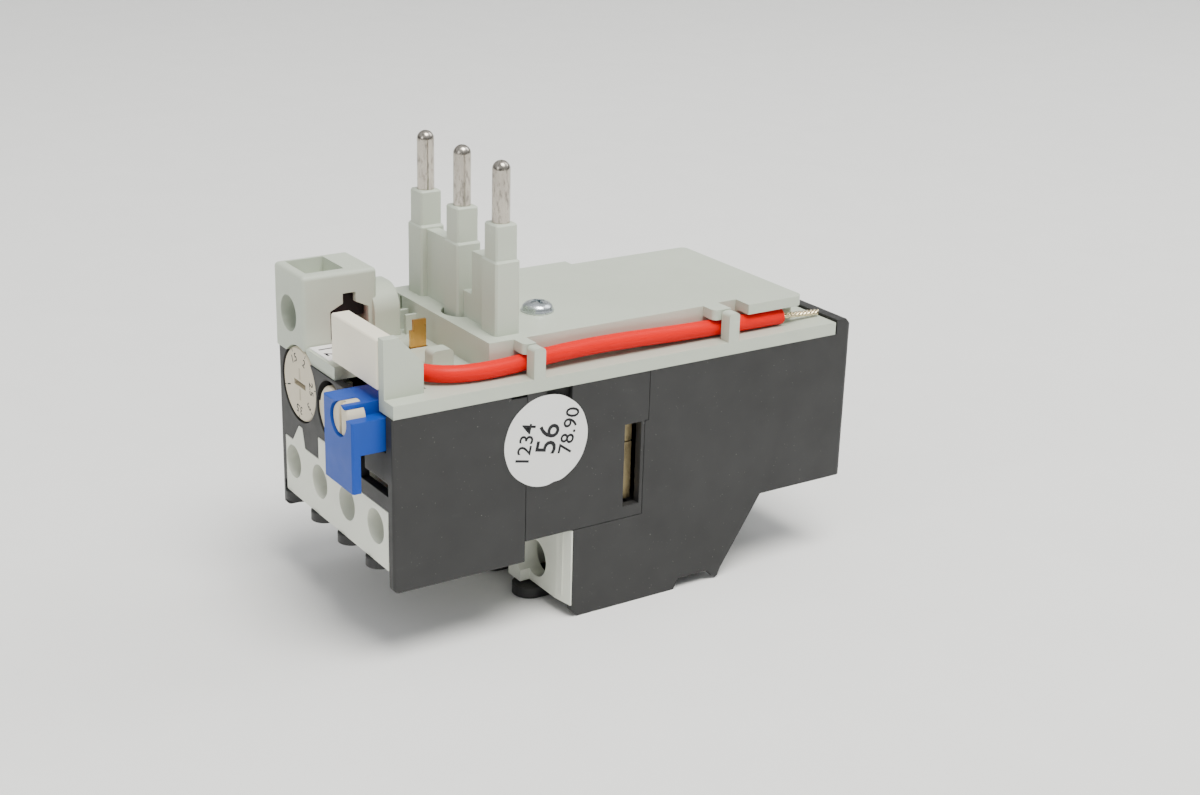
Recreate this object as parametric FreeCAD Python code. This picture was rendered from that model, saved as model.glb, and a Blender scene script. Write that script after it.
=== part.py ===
"""Thermal overload relay with three line pins, built as an assembly of separate pieces.

Lay-out frame: x to the right from the middle of the case, y to the rear from the front
face, z up from the underside that the relay stands on.  export() moves every piece into
the part's own frame, whose origin is on the middle line pin, at the top of its sleeve.
All sizes are in millimetres.
"""
import FreeCAD, Part
import os
from math import acos, atan2, cos, radians, sin, tan

V = FreeCAD.Vector
EACH_X = V(1, 0, 0)
EACH_Y = V(0, 1, 0)
EACH_Z = V(0, 0, 1)

# ---- case -----------------------------------------------------------------------------
CASE_W = 45.0            # over the two side walls
CASE_D = 97.0            # front face to rear face
CASE_TOP = 44.4          # top edge of the dark walls
WALL = 1.6
HALF = CASE_W / 2
INNER = HALF - WALL
LOW_INNER = INNER - 0.4  # the walls of the lower box are a little thicker
PARTING = 0.12           # visible seam between two mouldings
CLEAR = 0.35             # between pieces that move past each other
FIT = 0.05               # radial running fit of a pin or stem in its bore
REST = 0.1               # under a piece that lies on its rail or post
EDGE_R = 1.2             # rounding of the outer corners of the case

FRONT_UNDER = 13.2       # underside of the front case
SEAM_Y = 25.4            # where the front case ends
BOX_FRONT = 35.4         # front of the lower terminal box
BOX_TOP = 17.1
BOX_HEEL = 57.8          # where the flat foot of the box ends
HEEL_STEP = 2.0          # height of the recess behind the foot
HOOK_Y = 65.4            # snap hook under the box
HOOK_W = 3.2
HOOK_DROP = 1.8
REAR_UNDER = 15.3        # underside of the rear half
SLOPE_Y = 77.2           # where the sloping back of the box meets it
PLATE_REAR = 50.8        # rear edge of the side plate
LIP_D = 3.7              # raised lip behind the top cover, to the rear face
LIP_Y = CASE_D - LIP_D
LIP_TOP = CASE_TOP + 2.8

# ---- line pins and poles ----------------------------------------------------------------
POLE_SPARE = 4.95        # width of the case that its three poles leave
POLE_PITCH = (CASE_W - POLE_SPARE) / 3
POLE_MID_X = -1.85
PIN_Y = 26.5
PIN_R = 1.55
TAIL_R = 1.25             # tail of the pin inside its sleeve
PIN_OUT = 10.6           # bare pin above its sleeve
SLEEVE_TOP = CASE_TOP + 27.2
SLEEVE_STEP = SLEEVE_TOP - 6.2  # where the sleeve gets wider
SLEEVE_W = 4.2
SLEEVE_FOOT_W = 5.2
SLEEVE_FOOT_D = 4.8
WEB_T = 2.4
WEB_GAP_W = 3.0          # lower part of the second web, beside the middle sleeve
WEB_GAP_Z = CASE_TOP + 12.6
STRAP_W = 3.6
STRAP_T = 1.0
POLES = [POLE_MID_X + n * POLE_PITCH for n in (-1, 0, 1)]

# ---- top cover --------------------------------------------------------------------------
RIM_H = 2.35
RIM_TOP = CASE_TOP + RIM_H
RIM_GAP = 0.3            # between the rim's end and the lip
RIM_END = LIP_Y - RIM_GAP
PLAT_H = 5.55            # platform above the rim
PLAT_TOP = RIM_TOP + PLAT_H
PLAT_SKIN = 1.8
PLAT_FRONT = 21.5
PLAT_BEHIND = 10.2       # from the platform to the rear face
PLAT_REAR = CASE_D - PLAT_BEHIND
PLAT_LEFT = 4.5 - HALF
PLAT_LEFT_OUT = PLAT_LEFT - 2.2  # left edge of the wider front part
PLAT_LEFT_Y = 59.8
PLAT_RIGHT = HALF - 6.0
PLAT_WIDE = HALF - 2.6   # right edge of the wider rear part
PLAT_WIDE_Y = 74.0
PLAT_WIDE_T = 1.9        # thickness of the wider part, over the lead
NOTCH_Y = 69.9
NOTCH_IN = 0.5
HOLD_YS = (26.3, 66.2)   # front edges of the two tabs that hold the lead down
HOLD_D = (2.4, 3.7)
HOLD_T = 1.9
HOLD_R = 1.1
PORT_R = 3.75            # opening round the foot of the middle sleeve
CLIP_W = 2.4
CLIP_T = 2.3
CLIP_H = 5.4
CLIP_YS = (27.9, 68.9)   # clips of the lead on the right ledge
POST_X = HALF - 5.1      # wall that carries the marker bar
POST_T = 1.8
POST_D = 7.6
POST_TOP = RIM_TOP + 10.25
POST_REAR_TOP = RIM_TOP + 5.25
SHELF_GAP = (0.7, POST_X, 9.0)   # x from, x to and depth of the opening over the buttons
PEG_X = (6.4, 9.2)
PEG_Y = (14.6, 18.7)
PEG_H = 3.0
PEG_R = 0.9

# ---- cover screw ------------------------------------------------------------------------
SCREW_AT = (4.5, 38.3)
SCREW_HEAD_R = 3.0
SCREW_HEAD_H = 1.9
SCREW_R = 1.5
SCREW_LEN = 12.0

# ---- coil terminal ----------------------------------------------------------------------
CUBE_OUT = 0.6           # beyond the left wall
CUBE_W = 12.2
CUBE_X0 = -HALF - CUBE_OUT
CUBE_X1 = CUBE_X0 + CUBE_W
CUBE_D = 14.4
CUBE_TOP = CASE_TOP + 15.2
CUBE_R = 0.8
LUG_D = 4.0
LUG_X = (CUBE_X0 + 2.1, CUBE_X1 + 0.9)
LUG_TOP = CUBE_TOP - 3.8
LUG_R = 4.4
COIL_BORE_R = 3.3
COIL_BORE_Z = CASE_TOP + 7.2
COIL_WELL = (CUBE_X0 + 1.3, CUBE_X1 - 2.2, 1.7, 9.0, 3.4)  # x, x, y, y and depth of the top well
MOUTH_Y = 8.9            # middle of the lead's mouth in the right side
MOUTH_W = 7.4
MOUTH_TOP = CASE_TOP + 8.3
MOUTH_SLIT_W = 2.5
MOUTH_SLIT_TOP = CASE_TOP + 11.3

COIL_BORE_X = CUBE_X0 + 6.0
# chamber of the coil clamp, from and to in x, y and z
COIL_CHAMBER = (CUBE_X0 + 1.7, CUBE_X1 - 1.1, 2.9, 12.9, CASE_TOP + 1.5, CUBE_TOP - 4.4)
COIL_CLAMP_Y = 5.9

# ---- marker bar and contact tab ---------------------------------------------------------
MARKER_W = 16.9
MARKER_X1 = POST_X - 0.1
MARKER_X0 = MARKER_X1 - MARKER_W
MARKER_D = 3.5
MARKER_Z0 = RIM_TOP + 1.15
MARKER_Z1 = POST_TOP - 0.5
TAB_X = -2.5
TAB_T = 0.6
TAB_Y = 16.4
TAB_D = 3.1
TAB_TOP = RIM_TOP + 5.05

# ---- lead -------------------------------------------------------------------------------
LEAD_R = 1.5
LEAD = [
    (-18.6, 9.0, 49.1),
    (-11.5, 9.0, 49.15),
    (-2.0, 8.0, 49.2),
    (9.8, 6.6, 48.8),
    (16.0, 10.6, 48.5),
    (18.3, 16.4, 48.35),
    (18.4, 24.0, 48.4),
    (18.3, 34.0, 49.2),
    (18.2, 46.0, 49.3),
    (18.2, 64.0, 48.5),
    (18.25, 82.8, 48.4),
]
STRAND_R = 0.62
STRANDS = [
    (18.25, 82.9, 48.4),
    (18.0, 87.9, 48.0),
    (17.5, 92.6, 47.55),
]

# ---- front face -------------------------------------------------------------------------
DIAL_IN = 7.4            # middle of the dial, from the inside of the left wall
DIAL_X = DIAL_IN - INNER
DIAL_Z = CASE_TOP - 5.1
DIAL_R = 6.8
DIAL_T = 2.2
DIAL_GAP = 0.25
DIAL_SHAFT_R = 3.6
CAM_LOW = 3.0
CAM_RISE = 1.8
CAM_T = 2.4
CAM_SWEEP = 300.0        # degrees over which the cam rises

TEST_X = -0.5
TEST_Z = DIAL_Z - 1.0
TEST_R = 4.6
TEST_SKIRT_R = 5.3
TEST_TRAVEL = 1.5
TEST_STEM_R = 1.8

RESET_W = 10.7
RESET_IN_X = 0.9         # from the button to the inside of the right wall
RESET_X1 = INNER - RESET_IN_X
RESET_X0 = RESET_X1 - RESET_W
RESET_OUT = 5.9          # how far it stands out of the front face
RESET_TOP = CASE_TOP + 1.7
RESET_UNDER_RIM = CASE_TOP - 0.4
RESET_SPLIT = CASE_TOP - 6.1  # underside of the body, above the tongue
RESET_TIP = RESET_SPLIT - 6.6
RESET_TONGUE_T = 1.5
RESET_IN = 7.0
RESET_TRAVEL = 2.5
RESET_STEM_R = 2.0
SELECT_X = RESET_X1 - 5.0
SELECT_Z = RESET_TOP - 2.8
SELECT_R = 2.9
SELECT_SUNK = 0.4        # face of the selector below the front of the button
SELECT_LEN = 3.6

SLOT_GUIDE_W = 1.6       # L-shaped slot under the reset button
SLOT_GUIDE_H = 2.3
SLOT_GUIDE_X = RESET_X0 + 1.5
SLOT_GUIDE_Z = 30.4

# ---- auxiliary terminals ----------------------------------------------------------------
AUX_SPARE = 1.2          # width of the case that its four terminals leave
AUX_PITCH = (CASE_W - AUX_SPARE) / 4
AUX_MID_X = -0.4
AUX_Z = 23.4
AUX_HOLE_R = 3.1
AUX_BOTTOM = 16.9
AUX_TOP = 27.6
AUX_X0 = 0.8 - INNER
AUX_X1 = INNER - 0.2
AUX_D = 11.0
AUX_TAB_TOP = 31.2
AUX_STEP_TOP = 31.8
FOOT_W = 5.0
FOOT_DROP = 1.8
FOOT_D = 10.8
FOOT_OUT = 0.6
WIRE_HOLE_R = 1.7
AUX_ROOM = 1.5           # room of a terminal beyond the middle of its wire entry
AUX_CLAMP_GAP = 0.2      # between a clamp and the left of its room
WIRE_X = -2.3            # wire entry beside its terminal screw
AUX_XS = [AUX_MID_X + (n - 1.5) * AUX_PITCH for n in range(4)]
AUX_HEAD_Y = 3.7
AUX_HEAD_H = 2.0
AUX_SCREW_R = 1.5
AUX_HEAD_R = 2.6
AUX_SCREW_LEN = 7.6
CONTACT_T = 0.9
CONTACT_W = 5.6
GUIDE_Y = 13.0           # guides of the button stems
GUIDE_T = 2.0

# ---- main terminals ---------------------------------------------------------------------
MAIN_HOLE_R = 3.6
MAIN_HOLE_Z = 7.6
MAIN_D = 6.0
MAIN_BOTTOM = 2.4
MAIN_BAND_W = 4.0
BARRIER_W = 4.2
BARRIER_X = -4.1         # middle of a barrier beside its pole
BARRIER_OUT = 2.0
MAIN_FOOT_W = 6.4
MAIN_FOOT_OUT = 4.4
MAIN_FOOT_BACK = 51.0
MAIN_WIRE_R = 2.4
MAIN_WIRE_X = -1.7
MAIN_WIRE_Y = 46.4
CLAMP_BACK = 52.5
MAIN_TOP_RUN = 14.0
MAIN_SCREW_R = 2.0
MAIN_HEAD_Y = 38.2
MAIN_HEAD_H = 2.6
MAIN_HEAD_R = 3.3
MAIN_SCREW_LEN = 10.6
MAIN_CLAMP_W = 8.2
MAIN_CLAMP_UP = 4.6      # clamp above the middle of its screw
STRAP_HALF = 2.2         # half the width of a load strap

# ---- side plate -------------------------------------------------------------------------
SLOT_Y = 45.7
SLOT_W = 3.5
SLOT_Z = 19.4
SLOT_H = 15.7
THUMB_Y = 29.3
THUMB_W = 5.2
THUMB_H = 2.5
STICKER_R = 8.35
STICKER_Y = 29.4
STICKER_Z = 35.3
STICKER_T = 0.15

# ---- trip mechanism ---------------------------------------------------------------------
TRIP_TRAVEL = 1.5
BIMETAL_TIP_Y = 46.4
ROOT_BEHIND = 7.5        # from the root of the strips to the rear face
BIMETAL_ROOT_Y = CASE_D - ROOT_BEHIND
BIMETAL_T = 0.9
BIMETAL_H = 6.0
BIMETAL_Z = 30.0
HEATER_PITCH = 2.9
HEATER_BAND = 1.5
HEATER_T = 0.6
HEATER_START = 60.0
HEATER_REST = 5.0        # least bare stretch before the root
HEATER_TURNS = int((BIMETAL_ROOT_Y - HEATER_START - HEATER_REST) / HEATER_PITCH)
SLIDER_Y = 44.6
SLIDER_D = 2.8
SLIDER_Z = CASE_TOP - 7.4
SLIDER_H = 3.0
FINGER_T = 1.2
PARTITION_T = 1.2
PIVOT_X = -16.2
PIVOT_Y = 31.0
PIVOT_R = 1.0
ARM = 12.0               # both arms of the trip lever
ARM_Z = SLIDER_Z - 0.8
ARM_T = 1.8
HUB_DROP = 3.0           # hub of the trip lever below its arms
CARRIER_Y = 20.0
CARRIER_D = 2.6
CARRIER_Z = 31.0
CARRIER_H = 3.0
NC_FACE = CARRIER_Y - 0.8 - CLEAR          # rear face of the normally closed rivets
NO_FACE = CARRIER_Y + CARRIER_D + 0.8 + TRIP_TRAVEL + CLEAR
SETTING_X = DIAL_X + CAM_LOW + CAM_RISE / 2 + CLEAR + 1.3
SETTING_Z = DIAL_Z - 8.0
CAM_Y = DIAL_T + CLEAR + 2.2 + CLEAR


# ---- small tools ------------------------------------------------------------------------
def box(x0, x1, y0, y1, z0, z1):
    return Part.makeBox(x1 - x0, y1 - y0, z1 - z0, V(x0, y0, z0))


def rod(at, axis, radius, length):
    return Part.makeCylinder(radius, length, V(*at), axis)


def face_of(points):
    loop = [V(*p) for p in points]
    return Part.Face(Part.makePolygon(loop + loop[:1]))


def prism_x(points_yz, x0, x1):
    return face_of([(x0, y, z) for y, z in points_yz]).extrude(V(x1 - x0, 0, 0))


def prism_y(points_xz, y0, y1):
    return face_of([(x, y0, z) for x, z in points_xz]).extrude(V(0, y1 - y0, 0))


def prism_z(points_xy, z0, z1):
    return face_of([(x, y, z0) for x, y in points_xy]).extrude(V(0, 0, z1 - z0))


def soften(shape, radius, wanted):
    """Round the edges whose middle point and direction wanted(x, y, z, along) accepts."""
    picked = []
    for edge in shape.Edges:
        ends = edge.Vertexes
        if len(ends) < 2:
            continue
        run = ends[1].Point - ends[0].Point
        if run.Length < 1e-6:
            continue
        run.normalize()
        middle = (ends[0].Point + ends[1].Point) * 0.5
        along = "".join(n for n, c in zip("xyz", (run.x, run.y, run.z)) if abs(c) > 0.999)
        if wanted(middle.x, middle.y, middle.z, along):
            picked.append(edge)
    return shape.makeFillet(radius, picked) if picked else shape


def bevel_ring(shape, size, axis, level):
    """Chamfer the round edges that lie at one level along an axis."""
    rings = [e for e in shape.Edges if e.Closed and near(getattr(e.CenterOfMass, axis), level)]
    return shape.makeChamfer(size, rings)


def near(a, b, slack=0.02):
    return abs(a - b) < slack


def union(first, *rest):
    shape = first
    for piece in rest:
        shape = shape.fuse(piece)
    return shape.removeSplitter()


def minus(shape, *tools):
    for tool in tools:
        shape = shape.cut(tool)
    return shape


MIDS = [(POLES[n] + POLES[n + 1]) / 2 for n in (0, 1)]     # between two poles


def inside_case():
    """The free space of the rear case: the long upper chamber and the lower terminal box."""
    floor = BOX_TOP + WALL
    slope = atan2(REAR_UNDER - HEEL_STEP, SLOPE_Y - HOOK_Y - HOOK_W)
    back_off = WALL / sin(slope)
    upper = [
        (SEAM_Y - 1, floor),
        (SLOPE_Y + WALL, floor),
        (SLOPE_Y + 2 * WALL, REAR_UNDER + WALL),
        (CASE_D - WALL, REAR_UNDER + WALL),
        (CASE_D - WALL, CASE_TOP - WALL),
        (LIP_Y - PARTING, CASE_TOP - WALL),
        (LIP_Y - PARTING, CASE_TOP + 1),
        (SEAM_Y - 1, CASE_TOP + 1),
    ]
    rise = (floor - HEEL_STEP) / tan(slope)
    lower = [
        (BOX_FRONT - 1, HEEL_STEP + WALL),
        (HOOK_Y + HOOK_W - back_off + WALL / tan(slope), HEEL_STEP + WALL),
        (HOOK_Y + HOOK_W - back_off + rise, floor),
        (CLAMP_BACK, floor),
        (CLAMP_BACK, BOX_TOP),
        (BOX_FRONT - 1, BOX_TOP),
    ]
    return prism_x(upper, -INNER, INNER).fuse(prism_x(lower, -LOW_INNER, LOW_INNER))


def wire_collar(x, front, back, width, z0, z1):
    """Collar round a wire entry: half-round in front, straight at the sides."""
    r = width / 2
    return rod((x, front + r, z0), EACH_Z, r, z1 - z0).fuse(box(x - r, x + r, front + r, back, z0, z1))


def plate_outline(gap):
    """Outline of the side plate in (y, z), drawn in by gap on every side but the top."""
    return [
        (SEAM_Y + gap, BOX_TOP + gap),
        (SLOT_Y + SLOT_W + WALL / 2 - gap, BOX_TOP + gap),
        (SLOT_Y + SLOT_W + WALL / 2 - gap, SLOT_Z + SLOT_H + gap),
        (PLATE_REAR - gap, SLOT_Z + SLOT_H + gap),
        (PLATE_REAR - gap, CASE_TOP),
        (SEAM_Y + gap, CASE_TOP),
    ]


def rear_case():
    heel = HOOK_Y + HOOK_W
    body = prism_x([
        (BOX_FRONT, HEEL_STEP),
        (heel, HEEL_STEP),
        (SLOPE_Y, REAR_UNDER),
        (CASE_D, REAR_UNDER),
        (CASE_D, LIP_TOP - WALL),
        (CASE_D - WALL, LIP_TOP),
        (LIP_Y, LIP_TOP),
        (LIP_Y, CASE_TOP),
        (SEAM_Y + PARTING, CASE_TOP),
        (SEAM_Y + PARTING, BOX_TOP),
        (BOX_FRONT, BOX_TOP),
    ], -HALF, HALF)
    body = soften(body, EDGE_R, lambda x, y, z, a: a == "z" and near(y, CASE_D))
    cavity = inside_case()
    body = body.cut(cavity)
    hook = [(HOOK_Y, HEEL_STEP + 0.5), (HOOK_Y, HEEL_STEP), (HOOK_Y + 1.9, HEEL_STEP - HOOK_DROP),
            (heel - 0.6, HEEL_STEP - HOOK_DROP + 0.3), (heel, HEEL_STEP), (heel, HEEL_STEP + 0.5)]
    skirt = [(BOX_FRONT, HEEL_STEP + 0.5), (BOX_FRONT, EDGE_R), (BOX_FRONT + EDGE_R, 0),
             (BOX_HEEL, 0), (BOX_HEEL + 0.9, HEEL_STEP), (BOX_HEEL + 0.9, HEEL_STEP + 0.5)]
    for side in (-1, 1):
        x0, x1 = sorted((side * HALF, side * INNER))
        body = body.fuse(prism_x(skirt, x0, x1)).fuse(prism_x(hook, x0, x1))
    for x in MIDS:
        wall = box(x - PARTITION_T / 2, x + PARTITION_T / 2, CLAMP_BACK, CASE_D, 0, CASE_TOP)
        rail = box(x - PARTITION_T / 2, x + PARTITION_T / 2, SLIDER_Y - 1, CLAMP_BACK + 1,
                   BOX_TOP, SLIDER_Z - REST)
        body = body.fuse(wall.common(cavity)).fuse(rail)
    for x in POLES:
        body = body.fuse(wire_collar(x + MAIN_WIRE_X, BOX_FRONT - MAIN_FOOT_OUT, MAIN_FOOT_BACK,
                                     MAIN_FOOT_W, 0.15, HEEL_STEP + 0.1))
    post_top = ARM_Z - HUB_DROP - REST
    body = body.fuse(rod((PIVOT_X, PIVOT_Y, BOX_TOP), EACH_Z, 2.2 * PIVOT_R, post_top - BOX_TOP))
    body = body.fuse(rod((SCREW_AT[0], SCREW_AT[1], BOX_TOP), EACH_Z, SCREW_R + 1.3, CASE_TOP - BOX_TOP))
    cuts = [prism_x([(y, z) for y, z in plate_outline(0)[:4]] +
                    [(PLATE_REAR, CASE_TOP + 1), (SEAM_Y - 1, CASE_TOP + 1), (SEAM_Y - 1, BOX_TOP)],
                    INNER, HALF + 1)]
    for x in POLES:
        cuts.append(rod((x + MAIN_WIRE_X, MAIN_WIRE_Y, -1), EACH_Z, MAIN_WIRE_R, HEEL_STEP + WALL + 1.5))
    cuts.append(rod((PIVOT_X, PIVOT_Y, BOX_TOP + WALL / 2), EACH_Z, PIVOT_R + FIT, ARM_Z))
    cuts.append(rod((SCREW_AT[0], SCREW_AT[1], PLAT_TOP - SCREW_LEN - 1), EACH_Z, SCREW_R + FIT, SCREW_LEN))
    return minus(body, *cuts).removeSplitter()


def side_plate():
    plate = prism_x(plate_outline(PARTING), INNER, HALF)
    slot = box(INNER - 1, HALF + 1, SLOT_Y, SLOT_Y + SLOT_W, SLOT_Z, SLOT_Z + SLOT_H)
    thumb = box(HALF - 0.75 * WALL, HALF + 1, THUMB_Y, THUMB_Y + THUMB_W, CASE_TOP - THUMB_H,
                CASE_TOP + 1)
    plate = minus(plate, slot, thumb)
    for y in (SEAM_Y + 4, SLOT_Y - 8):
        tongue = prism_z([(INNER, y), (INNER - WALL, y + 0.4), (INNER - WALL, y + 3.6), (INNER, y + 4)],
                         BOX_TOP + WALL + PARTING, BOX_TOP + 3 * WALL)
        plate = plate.fuse(tongue)
    return plate.removeSplitter()


def insert_outline():
    """Front outline of the auxiliary terminal insert in (x, z), with its two upper tabs."""
    return [
        (AUX_X0, AUX_BOTTOM), (AUX_X1, AUX_BOTTOM), (AUX_X1, AUX_TOP),
        (1.5, AUX_TOP), (1.5, AUX_STEP_TOP), (-6.1, AUX_STEP_TOP), (-6.1, AUX_TOP),
        (DIAL_X + 1.7, AUX_TOP), (DIAL_X + 0.7, AUX_TAB_TOP), (DIAL_X - 0.7, AUX_TAB_TOP),
        (DIAL_X - 3.5, AUX_TOP), (AUX_X0, AUX_TOP),
    ]


def front_case():
    body = box(-HALF, HALF, 0, SEAM_Y, FRONT_UNDER, CASE_TOP)
    body = soften(body, EDGE_R, lambda x, y, z, a: (a == "x" and near(z, FRONT_UNDER) and near(y, 0))
                  or (a == "z" and near(y, 0) and near(x, -HALF)))
    body = soften(body, 0.4, lambda x, y, z, a: a == "z" and near(y, 0) and near(x, HALF))
    body = minus(body,
                 box(-INNER, INNER, WALL, SEAM_Y + 1, AUX_BOTTOM + WALL, CASE_TOP + 1),
                 box(-INNER, INNER, -1, SEAM_Y + 1, FRONT_UNDER - 1, AUX_BOTTOM),
                 box(-INNER, INNER, -1, WALL, FRONT_UNDER - 1, AUX_BOTTOM + WALL + 0.1))
    # plate behind the dial, with the bearing of its shaft and the pin of the setting lever
    plate = box(-INNER, DIAL_X + 7.1, DIAL_T + CLEAR, DIAL_T + CLEAR + 2.2, AUX_TOP + 0.4, CASE_TOP - 0.2)
    body = body.fuse(plate).fuse(setting_pin())
    # rails that the contact carrier slides on
    for x in (AUX_MID_X - 1.6, AUX_XS[0] + 4.0, AUX_XS[3] - 4.0):
        body = body.fuse(box(x - 0.6, x + 0.6, AUX_D + 2, SEAM_Y, AUX_BOTTOM, CARRIER_Z - REST))
    # guides of the test and reset stems
    guides = (
        (TEST_X, TEST_Z, TEST_STEM_R, TEST_X - TEST_STEM_R - 1.2, TEST_X + TEST_STEM_R + 1.2, AUX_BOTTOM),
        (reset_stem_x(), reset_stem_z(), RESET_STEM_R, reset_stem_x() - RESET_STEM_R - 1.2, INNER + 0.1,
         reset_stem_z() - RESET_STEM_R - 1.2),
    )
    for x, z, r, x0, x1, z0 in guides:
        body = body.fuse(box(x0, x1, GUIDE_Y, GUIDE_Y + GUIDE_T, z0, z + r + 1.2))
        body = body.cut(rod((x, GUIDE_Y - 1, z), EACH_Y, r + FIT, GUIDE_T + 2))
    for x in AUX_XS:
        collar = wire_collar(x + WIRE_X, -FOOT_OUT, FOOT_D, FOOT_W, AUX_BOTTOM - FOOT_DROP, AUX_BOTTOM + 0.05)
        body = body.fuse(collar.cut(box(-HALF, HALF, -2, WALL, AUX_BOTTOM, AUX_BOTTOM + 1)))
    opening = face_of([(x, -1, z) for x, z in insert_outline()]).makeOffset2D(PARTING)
    cuts = [opening.extrude(V(0, WALL + 2, 0)).common(box(-INNER, INNER, -1, WALL + 0.5, 0, CASE_TOP)),
            rod((DIAL_X, -1, DIAL_Z), EACH_Y, DIAL_R + DIAL_GAP, WALL + 2),
            rod((DIAL_X, DIAL_T, DIAL_Z), EACH_Y, DIAL_SHAFT_R + FIT, 4),
            rod((TEST_X, -1, TEST_Z), EACH_Y, TEST_SKIRT_R + DIAL_GAP, WALL + 2),
            box(RESET_X0 - CLEAR, RESET_X1 + CLEAR, -1, WALL + 1, RESET_SPLIT - CLEAR, CASE_TOP + 1),
            box(SLOT_GUIDE_X, INNER, -1, WALL + 1, SLOT_GUIDE_Z, SLOT_GUIDE_Z + SLOT_GUIDE_H),
            box(SLOT_GUIDE_X, SLOT_GUIDE_X + SLOT_GUIDE_W, -1, WALL + 1, SLOT_GUIDE_Z,
                RESET_SPLIT - CLEAR - 1.2),
            box(INNER, HALF + 1, SEAM_Y - 3.0, SEAM_Y + 1, CASE_TOP - 0.5, CASE_TOP + 1)]
    for x in AUX_XS:
        cuts.append(rod((x + WIRE_X, aux_wire_y(), AUX_BOTTOM - 4), EACH_Z, WIRE_HOLE_R, 4 + WALL + 1))
    return minus(body, *cuts).removeSplitter()


def aux_wire_y():
    return AUX_D - WIRE_HOLE_R - 1.2


def reset_stem_x():
    return (RESET_X0 + RESET_X1) / 2


def reset_stem_z():
    return (RESET_SPLIT + RESET_UNDER_RIM) / 2


def setting_pin():
    return rod((SETTING_X, DIAL_T + CLEAR, SETTING_Z), EACH_Y, 1.0, 2.2 + CLEAR + CAM_T + 0.4)


def aux_insert():
    body = prism_y(insert_outline(), 0, WALL)
    block = box(AUX_X0, AUX_X1, 0, AUX_D, AUX_BOTTOM + WALL + PARTING, AUX_TOP)
    body = body.fuse(block)
    cuts = []
    for x in AUX_XS:
        cuts.append(rod((x, -1, AUX_Z), EACH_Y, AUX_HOLE_R, 6))
        cuts.append(box(x + WIRE_X - AUX_ROOM, x + 3.6, 3.4, AUX_D + 1, AUX_BOTTOM + WALL - 1, AUX_TOP - 1.0))
    return minus(body, *cuts).removeSplitter()


def cross_screw(x, y, z, head_r, head_h, shank_r, length):
    """Terminal screw along +Y, with a cross recess in its head."""
    head = rod((x, y, z), EACH_Y, head_r, head_h)
    shank = rod((x, y + head_h - 0.1, z), EACH_Y, shank_r, length)
    wing = head_r * 0.62
    cross = box(x - wing, x + wing, y - 1, y + 0.6 * head_h, z - 0.35, z + 0.35).fuse(
        box(x - 0.35, x + 0.35, y - 1, y + 0.6 * head_h, z - wing, z + wing))
    return head.fuse(shank).cut(cross).removeSplitter()


def group(pieces):
    return Part.makeCompound(pieces)


def aux_screws():
    return group([cross_screw(x, AUX_HEAD_Y, AUX_Z, AUX_HEAD_R, AUX_HEAD_H, AUX_SCREW_R, AUX_SCREW_LEN)
                  for x in AUX_XS])


def aux_clamps():
    plates = []
    y = AUX_HEAD_Y + AUX_HEAD_H + FIT
    left = AUX_ROOM - WIRE_X - AUX_CLAMP_GAP
    for x in AUX_XS:
        plate = box(x - left, x + 3.1, y, y + 0.8, AUX_BOTTOM + WALL + 0.8, AUX_TOP - 1.4)
        plate = plate.fuse(box(x + 2.4, x + 3.1, y, y + 1.8, AUX_BOTTOM + WALL + 0.8, AUX_TOP - 1.4))
        plates.append(plate.cut(rod((x, y - 1, AUX_Z), EACH_Y, AUX_SCREW_R + FIT, 4)).removeSplitter())
    return group(plates)


def fixed_contacts(xs, reach, down):
    """Contact strips behind the insert: up the back of the terminal, then back to the bridge."""
    strips = []
    y = AUX_D + 0.05
    top = CARRIER_Z + CARRIER_H + 1.6
    for x in xs:
        strip = box(x - CONTACT_W / 2, x + CONTACT_W / 2, y, y + CONTACT_T,
                    AUX_BOTTOM + WALL + 0.8, top)
        arm = box(x - 2.0, x + 2.0, y, reach + down * CONTACT_T, top - CONTACT_T, top)
        drop = box(x - 2.0, x + 2.0, min(reach, reach + down * CONTACT_T),
                   max(reach, reach + down * CONTACT_T), CARRIER_Z, top)
        rivet = rod((x, min(reach, reach - down * 0.5), CARRIER_Z + CARRIER_H / 2), EACH_Y, 1.2, 0.5)
        hole = rod((x, y - 1, AUX_Z), EACH_Y, AUX_SCREW_R + FIT, 4)
        strips.append(union(strip, arm, drop, rivet).cut(hole))
    return group(strips)


def contact_carrier():
    bar = box(AUX_XS[0] - 2.4, AUX_XS[3] + 2.4, CARRIER_Y, CARRIER_Y + CARRIER_D, CARRIER_Z,
              CARRIER_Z + CARRIER_H)
    lug_y = PIVOT_Y + ARM_T / 2 + CLEAR
    tail_x = PIVOT_X + ARM
    tail = box(tail_x - 1.6, tail_x + 1.2, CARRIER_Y + CARRIER_D - 0.1, lug_y + 1.4, CARRIER_Z + 0.4,
               CARRIER_Z + CARRIER_H)
    lug = box(tail_x - 1.6, tail_x + 1.2, lug_y, lug_y + 1.4, CARRIER_Z + 0.4, ARM_Z + ARM_T)
    return union(bar, tail, lug)


def contact_bridge(x0, x1, face, toward):
    """Moving bridge that rides on one side of the carrier, with a rivet at each end."""
    y0, y1 = sorted((face, face + toward * 0.5))
    bar = box(x0 - 2.2, x1 + 2.2, y0, y1, CARRIER_Z + 0.3, CARRIER_Z + CARRIER_H - 0.3)
    for x in (x0, x1):
        start = min(y1 if toward > 0 else y0, (y1 if toward > 0 else y0) + toward * 0.3)
        bar = bar.fuse(rod((x, start, CARRIER_Z + CARRIER_H / 2), EACH_Y, 1.2, 0.3))
    return bar.removeSplitter()


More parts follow.
